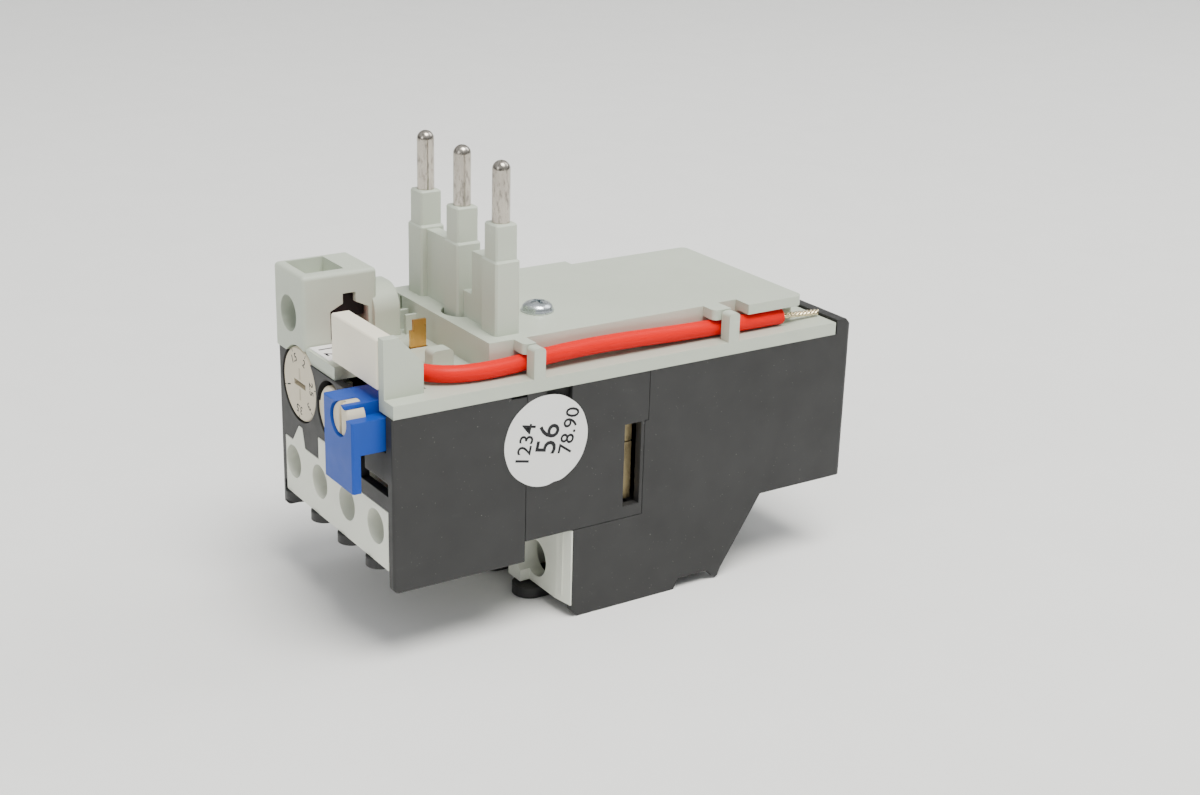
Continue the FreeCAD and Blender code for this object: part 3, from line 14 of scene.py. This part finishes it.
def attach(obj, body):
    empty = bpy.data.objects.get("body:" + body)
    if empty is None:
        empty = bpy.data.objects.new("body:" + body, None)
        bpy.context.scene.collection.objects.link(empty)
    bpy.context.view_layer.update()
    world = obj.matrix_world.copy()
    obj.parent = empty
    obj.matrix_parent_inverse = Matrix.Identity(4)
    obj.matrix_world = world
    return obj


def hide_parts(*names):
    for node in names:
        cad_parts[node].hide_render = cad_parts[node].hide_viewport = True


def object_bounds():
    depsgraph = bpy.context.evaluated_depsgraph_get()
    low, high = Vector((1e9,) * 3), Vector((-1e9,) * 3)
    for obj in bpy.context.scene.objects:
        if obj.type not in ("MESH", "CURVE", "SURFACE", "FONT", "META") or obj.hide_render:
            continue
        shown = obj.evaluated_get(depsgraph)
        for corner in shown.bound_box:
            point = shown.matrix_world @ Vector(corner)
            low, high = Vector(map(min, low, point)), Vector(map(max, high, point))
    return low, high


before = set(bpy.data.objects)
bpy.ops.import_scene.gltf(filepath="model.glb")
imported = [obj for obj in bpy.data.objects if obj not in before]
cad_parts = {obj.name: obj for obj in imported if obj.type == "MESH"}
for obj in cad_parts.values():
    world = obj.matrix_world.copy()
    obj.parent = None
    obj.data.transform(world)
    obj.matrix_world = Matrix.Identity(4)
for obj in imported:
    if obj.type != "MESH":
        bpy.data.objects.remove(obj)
lo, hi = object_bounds()

# ---- camera: placed first, where the object was looked at from, in metres ----------------
RIGHT = Vector((0.54897, 0.83540, 0.02727))
DOWN = Vector((0.30233, -0.16805, -0.93827))
AHEAD = Vector((-0.77925, 0.52333, -0.34482))
EYE = (0.26652, -0.14894, 0.07679)
SENSOR = 36.0            # width in millimetres
LENS = 53.85             # millimetres


def place_camera():
    data = bpy.data.cameras.new("camera")
    data.sensor_width = SENSOR
    data.lens = LENS
    data.clip_start = 0.01
    data.clip_end = 20.0
    camera = bpy.data.objects.new("camera", data)
    bpy.context.collection.objects.link(camera)
    turn = Matrix((RIGHT, -DOWN, -AHEAD)).transposed().to_4x4()
    camera.matrix_world = Matrix.Translation(EYE) @ turn
    bpy.context.scene.camera = camera


place_camera()

# ---- small tools -------------------------------------------------------------------------
ORIGIN = (-1.85, 26.5, 71.6)     # the frame's origin, on top of the middle sleeve
# faces of a box whose corners run through x, then y, then z
BOX_FACES = [(0, 1, 3, 2), (4, 6, 7, 5), (0, 4, 5, 1), (2, 3, 7, 6), (0, 2, 6, 4), (1, 5, 7, 3)]


def at(x, y, z):
    return Vector(((x - ORIGIN[0]) / 1000, (y - ORIGIN[1]) / 1000, (z - ORIGIN[2]) / 1000))


def link(obj, body, material=None):
    bpy.context.collection.objects.link(obj)
    if material:
        obj.data.materials.append(material)
    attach(obj, body)
    return obj


def solid(name, points, faces, body, material, smooth=False):
    """Piece from its points and its faces."""
    mesh = bpy.data.meshes.new(name)
    mesh.from_pydata([at(*p) for p in points], [], faces)
    for polygon in mesh.polygons:
        polygon.use_smooth = smooth
    return link(bpy.data.objects.new(name, mesh), body, material)


def slab(name, x, y, z, body, material, slot):
    """Thin rectangular piece from its spans in x, y and z."""
    points = [(a, b, c) for a in x for b in y for c in z]
    piece = solid(name, points, BOX_FACES, body, material)
    return piece


# ---- node materials ----------------------------------------------------------------------
# inputs of the colour mix node
MIX_FACTOR, MIX_A, MIX_B = 0, 6, 7
# scales of the noises, larger for finer
CLOUD = 60.0             # slow clouding of a moulding's colour
GRAIN = 4200.0           # spark grain of a moulding
DUST = 2600.0
MARKS = 420.0            # light rub marks
GLOSS = 220.0            # uneven gloss of a moulding
DRAWN = 900.0            # drawing marks of a metal
BLOTS = 180.0            # uneven tone of a metal
DULL = 1300.0            # dull spots of a metal
DUST_COLOR = (0.55, 0.54, 0.50, 1.0)


class Nodes:
    """A material's node tree with short ways to add to it."""

    def __init__(self, name):
        self.material = bpy.data.materials.new(name)
        self.material.use_nodes = True
        self.tree = self.material.node_tree
        self.shader = self.tree.nodes["Principled BSDF"]
        self.place = self.add("ShaderNodeTexCoord").outputs["Object"]

    def put(self, socket, value):
        """Give an input a plain value, or link it to an output."""
        if isinstance(value, bpy.types.NodeSocket):
            self.tree.links.new(value, socket)
        else:
            socket.default_value = value

    def add(self, kind, **inputs):
        node = self.tree.nodes.new(kind)
        for key, value in inputs.items():
            self.put(node.inputs[key], value)
        return node

    def noise(self, scale, detail=4.0, rough=0.55, stretch=None):
        place = self.place
        if stretch:
            mapping = self.add("ShaderNodeMapping", Vector=place, Scale=stretch)
            place = mapping.outputs["Vector"]
        node = self.add("ShaderNodeTexNoise", Vector=place, Scale=scale, Detail=detail,
                        Roughness=rough)
        return node.outputs["Fac"]

    def ramp(self, value, low, high, to_low, to_high):
        """Stretch what lies between low and high to to_low and to_high."""
        node = self.add("ShaderNodeMapRange", Value=value)
        for n, v in enumerate((low, high, to_low, to_high), 1):
            node.inputs[n].default_value = v
        return node.outputs["Result"]

    def mix(self, factor, a, b):
        node = self.tree.nodes.new("ShaderNodeMix")
        node.data_type = "RGBA"
        self.put(node.inputs[MIX_FACTOR], factor)
        self.put(node.inputs[MIX_A], a)
        self.put(node.inputs[MIX_B], b)
        return node.outputs[2]

    def bump(self, height, strength, distance):
        node = self.add("ShaderNodeBump", Height=height, Strength=strength, Distance=distance)
        self.tree.links.new(node.outputs["Normal"], self.shader.inputs["Normal"])
        return node


def shade(color, k):
    return (color[0] * k, color[1] * k, color[2] * k, 1.0)


def plastic(name, color, rough=0.45, grain=0.25, spread=0.06, gloss=0.4, specks=0.0, edge=0.12):
    """Moulded plastic: clouded colour, spark grain, uneven gloss, dust and soft edges."""
    n = Nodes(name)
    cloud = n.noise(CLOUD, 3.0)
    fine = n.noise(GRAIN, 3.0)
    pale, deep = shade(color, 1 + spread), shade(color, 1 - spread)
    tone = n.mix(n.ramp(cloud, 0.3, 0.7, 0.0, 1.0), deep, pale)
    if specks:
        dust = n.ramp(n.noise(DUST, 2.0, 0.4), 0.735, 0.80, 0.0, specks)
        tone = n.mix(dust, tone, DUST_COLOR)
        marks = n.ramp(n.noise(MARKS, 2.0, 0.5, (1.0, 0.3, 1.0)), 0.68, 0.80, 0.0, specks)
        tone = n.mix(marks, tone, shade(color, 1.7))
    n.put(n.shader.inputs["Base Color"], tone)
    uneven = n.ramp(n.noise(GLOSS, 5.0), 0.3, 0.7, rough - 0.05, rough + 0.07)
    n.put(n.shader.inputs["Roughness"], uneven)
    n.shader.inputs["IOR"].default_value = 1.5
    n.shader.inputs["Specular IOR Level"].default_value = gloss
    bump = n.bump(fine, grain, 0.00002)
    if edge:
        soft = n.tree.nodes.new("ShaderNodeBevel")
        soft.samples = 4
        soft.inputs["Radius"].default_value = edge / 1000
        n.tree.links.new(soft.outputs["Normal"], bump.inputs["Normal"])
    return n.material


def metal(name, color, rough=0.28, brush=(1.0, 1.0, 0.15), spread=0.12, tarnish_and_reflection=0.0):
    """Plated or rolled metal with drawing marks, slightly uneven gloss and dull spots."""
    n = Nodes(name)
    marks = n.noise(DRAWN, 4.0, stretch=brush)
    blot = n.noise(BLOTS, 4.0)
    bright, dark = shade(color, 1 + spread / 2), shade(color, 1 - spread)
    tone = n.mix(n.ramp(blot, 0.3, 0.7, 0.0, 1.0), dark, bright)
    # dull streaks along the height: tarnish, and on the pins also painted streaks of dark
    # reflection
    if tarnish_and_reflection:
        spots = n.ramp(n.noise(DULL, 4.0, 0.7, (1.0, 1.0, 0.35)), 0.50, 0.68, 0.0, tarnish_and_reflection)
        tone = n.mix(spots, tone, shade(color, 0.28))
    n.put(n.shader.inputs["Base Color"], tone)
    n.shader.inputs["Metallic"].default_value = 1.0
    uneven = n.ramp(marks, 0.3, 0.7, rough - 0.08, rough + 0.12)
    n.put(n.shader.inputs["Roughness"], uneven)
    n.bump(marks, 0.15, 0.00003)
    return n.material


case_dark = plastic("case dark", (0.027, 0.027, 0.027), 0.50, 0.45, 0.12, 0.35, specks=0.22)
cover_grey = plastic("cover grey", (0.52, 0.565, 0.47), 0.42, 0.20, 0.03, specks=0.10)
insert_grey = plastic("insert grey", (0.76, 0.78, 0.68), 0.42, 0.20, 0.03, specks=0.10)
marker_white = plastic("marker white", (0.92, 0.86, 0.70), 0.45, 0.20, 0.03, specks=0.10, edge=0.35)
button_blue = plastic("button blue", (0.006, 0.060, 0.38), 0.42, 0.45, 0.12, 0.25)
cream = plastic("cream", (0.66, 0.59, 0.45), 0.45, 0.20, 0.04)
red = plastic("red insulation", (0.78, 0.004, 0.003), 0.34, 0.12, 0.05, 0.12, edge=0)
paper = plastic("paper", (0.84, 0.84, 0.82), 0.75, 0.50, 0.02, 0.2, edge=0)
# darker cream for the dial's cross groove: painted shade of a groove
groove_shade_cream = plastic("groove painted shade cream", (0.50, 0.44, 0.32), 0.5, 0.2, 0.04, 0.3, edge=0)
# dark print on the dial, sticker and shelf, also used for the sheets of painted shade in the dial
# slot and the coil mouth
ink_and_painted_shade = plastic("ink_and_painted_shade", (0.018, 0.018, 0.020), 0.60, 0.20, 0.20, 0.2, edge=0)
# pins: their dark vertical streaks are partly tarnish and partly painted reflection
pin_metal = metal("pin metal", (0.50, 0.46, 0.40), 0.20, (1.0, 1.0, 0.05), 0.15, tarnish_and_reflection=0.85)
screw_metal = metal("screw metal", (0.62, 0.66, 0.68), 0.22)
# screws and pin deep inside the case: metal colour darkened as painted shade of their chambers
shaded_screw_metal = metal("screw metal darkened for painted shade", (0.34, 0.34, 0.34), 0.40)
clamp_metal = metal("clamp metal", (0.20, 0.20, 0.20), 0.45)
tin = metal("tinned strand", (0.90, 0.76, 0.50), 0.20, spread=0.2, tarnish_and_reflection=0.3)
brass = metal("brass", (0.42, 0.34, 0.19), 0.42, spread=0.2, tarnish_and_reflection=0.7)
copper = metal("copper", (0.78, 0.42, 0.12), 0.32)
bimetal = metal("bimetal", (0.52, 0.49, 0.45), 0.35)
heater = metal("heater ribbon", (0.36, 0.34, 0.32), 0.45)

LOOKS = {
    case_dark: ("rear_case", "front_case", "side_plate"),
    cover_grey: ("top_cover", "coil_terminal_block"),
    insert_grey: ("aux_insert", "main_insert", "dial_cam", "setting_lever", "contact_carrier",
                  "trip_slider", "trip_lever"),
    marker_white: ("marker_bar",),
    button_blue: ("reset_button",),
    cream: ("adjusting_dial", "test_button", "selector_knob"),
    paper: ("terminal_label", "inspection_sticker"),
    pin_metal: ("line_pin_l1", "line_pin_l2", "line_pin_l3"),
    screw_metal: ("cover_screw",),
    shaded_screw_metal: ("coil_terminal_screw", "aux_screws", "main_screws", "lever_pin"),
    clamp_metal: ("coil_terminal_clamp", "aux_clamps", "main_clamps"),
    tin: ("lead_strands",),
    red: ("lead_wire",),
    brass: ("nc_contacts", "no_contacts", "load_strap_1", "load_strap_2", "load_strap_3",
            "slider_end_plate"),
    copper: ("contact_tab", "nc_bridge", "no_bridge"),
    bimetal: ("bimetal_1", "bimetal_2", "bimetal_3", "compensation_strip"),
    heater: ("heater_winding_1", "heater_winding_2", "heater_winding_3"),
}
for look, names in LOOKS.items():
    for name in names:
        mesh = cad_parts[name].data
        mesh.materials.clear()
        mesh.materials.append(look)

# ---- lead, along the same route as in the CAD --------------------------------------------
LEAD_R = 0.0015          # metres, like the radii below
STRAND_R = 0.00029
TWIST_R = 0.00031        # from the tail's middle to the middle of a strand
TAIL_TURNS = 3.2
STRANDS = 3
STRAND_STEPS = 40
LEAD = (
    (-18.6, 9.0, 49.1),
    (-11.5, 9.0, 49.15),
    (-2.0, 8.0, 49.2),
    (9.8, 6.6, 48.8),
    (16.0, 10.6, 48.5),
    (18.3, 16.4, 48.35),
    (18.4, 24.0, 48.4),
    (18.3, 34.0, 49.2),
    (18.2, 46.0, 49.3),
    (18.2, 64.0, 48.5),
    (18.25, 82.8, 48.4),
)
TAIL = ((18.25, 82.9, 48.4), (18.0, 87.9, 48.0), (17.5, 92.5, 47.55))


def curve_of(name, points, radius, ring=6):
    data = bpy.data.curves.new(name, "CURVE")
    data.dimensions = "3D"
    line = data.splines.new("NURBS")
    line.points.add(len(points) - 1)
    for spot, p in zip(line.points, points):
        spot.co = (*p, 1.0)
    line.order_u = 3
    line.use_endpoint_u = True
    line.resolution_u = 12
    data.bevel_depth = radius
    data.bevel_resolution = ring
    data.use_fill_caps = True
    return bpy.data.objects.new(name, data)


def line_length(curve):
    """Length in metres of a curve's own line, without its bevel."""
    plain = curve.data.copy()
    plain.bevel_depth = 0.0
    probe = bpy.data.objects.new("probe", plain)
    mesh = bpy.data.meshes.new_from_object(probe)
    spots = [v.co.copy() for v in mesh.vertices]
    bpy.data.objects.remove(probe)
    return sum((b - a).length for a, b in zip(spots, spots[1:]))


def strand_line(first_turn):
    """Middle line of one strand, twisted round the tail's own bent line."""
    start, bend, end = (at(*p) for p in TAIL)
    line = []
    for n in range(STRAND_STEPS + 1):
        t = n / STRAND_STEPS
        spot = start.lerp(bend, t).lerp(bend.lerp(end, t), t)
        angle = 2 * math.pi * (TAIL_TURNS * t + first_turn)
        line.append(spot + Vector((math.cos(angle), 0.0, math.sin(angle))) * TWIST_R)
    return line


lead_points = [at(*p) for p in LEAD]
lead = link(curve_of("lead_insulation", lead_points, LEAD_R), "housing", red)
for k in range(STRANDS):
    strand = curve_of("strand_%d" % k, strand_line(k / STRANDS), STRAND_R, 3)
    link(strand, "housing", tin)
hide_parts("lead_strands")
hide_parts("lead_wire")
line_length(lead)

# ---- print -------------------------------------------------------------------------------
WEIGHT = 1 / 130         # extra weight of a stroke, as a share of the size of the letters


def letters(name, text, size, spot, across, upward, body, depth=0.02):
    """Raised print: plain characters centred on spot, in a plane given by two directions."""
    data = bpy.data.curves.new(name, "FONT")
    data.body = text
    data.size = size / 1000
    data.align_x = "CENTER"
    data.align_y = "CENTER"
    data.extrude = depth / 2 / 1000
    data.offset = size * WEIGHT / 1000
    data.resolution_u = 3
    probe = bpy.data.objects.new(name + "_text", data)
    mesh = bpy.data.meshes.new_from_object(probe)
    bpy.data.objects.remove(probe)
    across = Vector(across).normalized()
    upward = Vector(upward).normalized()
    turn = Matrix((across, upward, across.cross(upward))).transposed().to_4x4()
    mesh.transform(Matrix.Translation(at(*spot)) @ turn)
    mesh.materials.clear()
    mesh.materials.append(ink_and_painted_shade)
    obj = link(bpy.data.objects.new(name, mesh), body)


# setting dial: plain numbers round the rim, a dark sheet of painted shade on the floor of its
# driver slot, and darker cream bars of painted shade for its shallow cross groove
DIAL = Vector((-13.5, 0.0, 39.3))
NUMBERS = ((196, "1"), (117, "1.5"), (66, "2"), (6, "2.5"), (-40, "3"), (-95, "3.5"))
NUMBER_SIZE = 2.1
NUMBER_R = 4.75
NUMBER_Y = 0.14
TICK_SPAN = (6.0, 6.6)   # from and to, out from the middle
TICK_HALF = 0.07
TICK_Y = (0.12, 0.16)
SLOT_SHADE_HALF = (2.3, 0.46)
SLOT_SHADE_Y = (1.16, 1.22)
GROOVE_SHADE_HALF = 0.3
GROOVE_SHADE_SPAN = (0.9, 3.0)
GROOVE_SHADE_Y = (0.13, 0.16)


def dial_number(count, degrees, text):
    """A number and its tick, at an angle round the dial."""
    turn = math.radians(degrees)
    out = Vector((math.cos(turn), 0.0, math.sin(turn)))
    across = Vector((math.sin(turn), 0.0, -math.cos(turn)))
    place = DIAL + NUMBER_R * out
    spot = (place.x, NUMBER_Y, place.z)
    letters("dial_number_%d" % count, text, NUMBER_SIZE, spot, across, out, "dial")
    flat = [DIAL + out * r + across * w for r in TICK_SPAN for w in (-TICK_HALF, TICK_HALF)]
    mark = solid("dial_tick_%d" % count, [(v.x, d, v.z) for d in TICK_Y for v in flat],
                 BOX_FACES, "dial", ink_and_painted_shade)


for count, (degrees, text) in enumerate(NUMBERS):
    dial_number(count, degrees, text)
# dark sheet on the slot floor: painted shade that makes the slot look deep
slab("dial_slot_painted_shade", (DIAL.x - SLOT_SHADE_HALF[0], DIAL.x + SLOT_SHADE_HALF[0]), SLOT_SHADE_Y,
     (DIAL.z - SLOT_SHADE_HALF[1], DIAL.z + SLOT_SHADE_HALF[1]), "dial", ink_and_painted_shade, "case_dark")
# bars of darker cream on the dial face: painted shade standing for the shallow cross groove
for count, side in enumerate((-1, 1)):
    reach = sorted(DIAL.z + side * r for r in GROOVE_SHADE_SPAN)
    slab("dial_groove_shade_%d" % count, (DIAL.x - GROOVE_SHADE_HALF, DIAL.x + GROOVE_SHADE_HALF), GROOVE_SHADE_Y,
         reach, "dial", groove_shade_cream, "dial_cream")

# round sticker with a worn edge and plain numbers in place of its print
STICKER = (29.4, 35.3)   # y and z of its middle
STICKER_R = 8.35
STICKER_X = (22.5, 22.61)
STICKER_PRINT_X = 22.622
STICKER_POINTS = 96
NICK = (75, 1.6, 0.28)   # point, width in points and depth of the nick in the edge
WAVE = 0.05
STICKER_PRINT = 0.03     # thickness of its print
LEAN = math.radians(12)
# text, size and place of each line, from the middle in y and z
STICKER_LINES = (("1234", 3.9, -4.1, 0.0), ("56", 5.8, 0.4, 0.3), ("78.90", 3.9, 4.6, 1.0))


def sticker():
    nick_at, nick_wide, nick_deep = NICK
    rim = []
    for n in range(STICKER_POINTS):
        turn = 2 * math.pi * n / STICKER_POINTS
        nick = nick_deep * math.exp(-((n - nick_at) / nick_wide) ** 2)
        r = STICKER_R - (nick + WAVE * math.sin(5 * turn) ** 4)
        rim.append((STICKER[0] + r * math.cos(turn), STICKER[1] + r * math.sin(turn)))
    corners = [(x, y, z) for x in STICKER_X for y, z in rim]
    nexts = [(n + 1) % STICKER_POINTS for n in range(STICKER_POINTS)]
    walls = [(n, m, STICKER_POINTS + m, STICKER_POINTS + n) for n, m in enumerate(nexts)]
    back = tuple(range(STICKER_POINTS - 1, -1, -1))
    front = tuple(range(STICKER_POINTS, 2 * STICKER_POINTS))
    disc = solid("sticker_disc", corners, walls + [back, front], "housing", paper)
    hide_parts("inspection_sticker")
    across = (0.0, math.sin(LEAN), math.cos(LEAN))
    upward = (0.0, -math.cos(LEAN), math.sin(LEAN))
    for count, (text, size, dy, dz) in enumerate(STICKER_LINES):
        spot = (STICKER_PRINT_X, STICKER[0] + dy, STICKER[1] + dz)
        letters("sticker_line_%d" % count, text, size, spot, across, upward, "housing",
                STICKER_PRINT)


sticker()

# plain numbers on the label of the terminal shelf
SHELF_NUMBERS = (("1", -8.6), ("2", -5.8))
SHELF_SIZE = 3.8
SHELF_Y = 2.9
SHELF_TOP = 46.91
for count, (text, x) in enumerate(SHELF_NUMBERS):
    spot = (x, SHELF_Y, SHELF_TOP)
    letters("shelf_number_%d" % count, text, SHELF_SIZE, spot, (1, 0, 0), (0, 1, 0), "housing")

# dark sheet of painted shade inside the coil terminal's mouth, above the end of the lead, to keep
# the mouth dark: spans in x, y and z
MOUTH_SHADE = ((-13.1, -12.9), (5.3, 12.6), (50.75, 54.9))
slab("coil_mouth_painted_shade", *MOUTH_SHADE, "housing", ink_and_painted_shade, "case_dark")

# ---- cover screw: pan head with a rolled rim and a deep cross recess ---------------------
SCREW = (4.5, 38.3)
SCREW_STEPS = 48
# radius and height, from the top of the head over its rim and down the shank
PAN = ((0.0, 54.18), (0.8, 54.15), (1.6, 54.02), (2.2, 53.78), (2.62, 53.42), (2.80, 53.05),
       (2.82, 52.80), (2.97, 52.68), (3.0, 52.50), (2.96, 52.32), (1.5, 52.32), (1.5, 40.35),
       (0.0, 40.35))
WING = (1.75, 0.55)      # half length of a wing at its top, and the share left at its floor
BLADE = (0.36, 0.7)      # the same for its half thickness
RECESS_TOP = 54.6        # above the head, so that the cut is open
RECESS_FLOOR = 52.9


def turned(name, profile, spot, body, material):
    """Piece turned round an upright line through spot."""
    points = []
    for r, z in profile:
        for n in range(SCREW_STEPS):
            turn = 2 * math.pi * n / SCREW_STEPS
            points.append((spot[0] + r * math.cos(turn), spot[1] + r * math.sin(turn), z))
    faces = []
    for k in range(len(profile) - 1):
        above, below = k * SCREW_STEPS, (k + 1) * SCREW_STEPS
        for n in range(SCREW_STEPS):
            m = (n + 1) % SCREW_STEPS
            faces.append((above + n, above + m, below + m, below + n))
    piece = solid(name, points, faces, body, material, True)
    shaped = bmesh.new()
    shaped.from_mesh(piece.data)
    bmesh.ops.remove_doubles(shaped, verts=shaped.verts, dist=1e-7)
    bmesh.ops.dissolve_degenerate(shaped, edges=shaped.edges, dist=1e-7)
    bmesh.ops.recalc_face_normals(shaped, faces=shaped.faces)
    shaped.to_mesh(piece.data)
    shaped.free()
    return piece


def wing_cutter(along_x, along_y):
    """Bar of the cross recess that narrows downwards, from its half size and share each way."""
    loop = []
    for top, z in ((True, RECESS_TOP), (False, RECESS_FLOOR)):
        x = along_x[0] if top else along_x[0] * along_x[1]
        y = along_y[0] if top else along_y[0] * along_y[1]
        for a, b in ((-1, -1), (1, -1), (1, 1), (-1, 1)):
            loop.append((SCREW[0] + a * x, SCREW[1] + b * y, z))
    mesh = bpy.data.meshes.new("cutter")
    mesh.from_pydata([at(*p) for p in loop], [], [(0, 1, 2, 3), (7, 6, 5, 4), (4, 5, 1, 0),
                                                 (5, 6, 2, 1), (6, 7, 3, 2), (7, 4, 0, 3)])
    cutter = bpy.data.objects.new("cutter", mesh)
    bpy.context.collection.objects.link(cutter)
    return cutter


def cut(piece, cutters):
    """Take the cutters out of a piece and delete them."""
    for cutter in cutters:
        recess = piece.modifiers.new("recess", "BOOLEAN")
        recess.operation = "DIFFERENCE"
        recess.object = cutter
    bpy.context.view_layer.update()
    drawn = piece.evaluated_get(bpy.context.evaluated_depsgraph_get())
    shaped = bpy.data.meshes.new_from_object(drawn)
    piece.modifiers.clear()
    piece.data = shaped
    for cutter in cutters:
        bpy.data.objects.remove(cutter)


screw = turned("cover_screw_head", PAN, SCREW, "housing", screw_metal)
cut(screw, [wing_cutter(WING, BLADE), wing_cutter(BLADE, WING)])
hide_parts("cover_screw")

# ---- floor and light, in metres ----------------------------------------------------------
FLOOR_WIDTH = 3.0
FLOOR_FRONT = 1.2        # towards the camera
SWEEP_START = 1.4        # where the floor begins to rise behind the object
SWEEP_R = 0.8
SWEEP_STEPS = 12
WALL_TOP = 2.4
HORIZON = (-0.05, 0.55)  # between these heights the sky goes from dark to full
SKY_LOW = (0.02, 0.02, 0.02, 1.0)
SKY_HIGH = (0.93, 0.95, 0.97, 1.0)
SKY_STRENGTH = 0.74


def backdrop():
    """Plain pale floor that rises in a soft sweep behind the object."""
    quarter = [math.pi / 2 * n / SWEEP_STEPS for n in range(SWEEP_STEPS + 1)]
    profile = [(-FLOOR_FRONT, 0.0)]
    for a in quarter:
        profile.append((SWEEP_START + SWEEP_R * math.sin(a), SWEEP_R - SWEEP_R * math.cos(a)))
    profile += [(SWEEP_START + SWEEP_R, WALL_TOP)]
    away = Vector((AHEAD.x, AHEAD.y, 0)).normalized()
    side = Vector((-away.y, away.x, 0))
    points = []
    for w in (-FLOOR_WIDTH, FLOOR_WIDTH):
        start = Vector((0, 0, lo.z)) + side * w
        points += [start + away * d + Vector((0, 0, h)) for d, h in profile]
    count = len(profile)
    faces = [(n, n + 1, count + n + 1, count + n) for n in range(count - 1)]
    mesh = bpy.data.meshes.new("backdrop")
    mesh.from_pydata(points, [], faces)
    for polygon in mesh.polygons:
        polygon.use_smooth = True
    sweep = bpy.data.objects.new("backdrop", mesh)
    bpy.context.collection.objects.link(sweep)
    card = plastic("backdrop paper", (0.90, 0.895, 0.875), 0.8, 0.1, 0.01, 0.2, edge=0)
    mesh.materials.append(card)


def lamp(name, reach, size, power, color=(1.0, 1.0, 1.0)):
    """Round area lamp, at reach from the middle of the object and turned towards it."""
    data = bpy.data.lights.new(name, "AREA")
    data.shape = "DISK"
    data.size = size
    data.energy = power
    data.color = color
    obj = bpy.data.objects.new(name, data)
    obj.location = (lo + hi) / 2 + Vector(reach)
    obj.rotation_mode = "QUATERNION"
    obj.rotation_quaternion = (-Vector(reach)).to_track_quat("-Z", "Y")
    bpy.context.collection.objects.link(obj)


def sky():
    """Soft light from all round, dark below the floor and brighter with height."""
    world = bpy.data.worlds.new("studio")
    world.use_nodes = True
    tree = world.node_tree
    direction = tree.nodes.new("ShaderNodeTexCoord").outputs["Generated"]
    split = tree.nodes.new("ShaderNodeSeparateXYZ")
    tree.links.new(direction, split.inputs[0])
    height = tree.nodes.new("ShaderNodeMapRange")
    for n, v in enumerate((*HORIZON, 0.10, 1.0), 1):
        height.inputs[n].default_value = v
    tree.links.new(split.outputs["Z"], height.inputs[0])
    tint = tree.nodes.new("ShaderNodeMix")
    tint.data_type = "RGBA"
    tree.links.new(height.outputs[0], tint.inputs[MIX_FACTOR])
    tint.inputs[MIX_A].default_value = SKY_LOW
    tint.inputs[MIX_B].default_value = SKY_HIGH
    tree.links.new(tint.outputs[2], tree.nodes["Background"].inputs["Color"])
    tree.nodes["Background"].inputs["Strength"].default_value = SKY_STRENGTH
    bpy.context.scene.world = world


backdrop()
lamp("key", (0.48, 0.05, 1.25), 0.8, 25.0, (1.0, 0.99, 0.95))
lamp("rear soft", (0.1, 1.1, 0.9), 0.9, 6.0, (0.97, 0.99, 1.0))
lamp("front fill", (0.3, -1.2, 0.45), 0.6, 2.2)
sky()
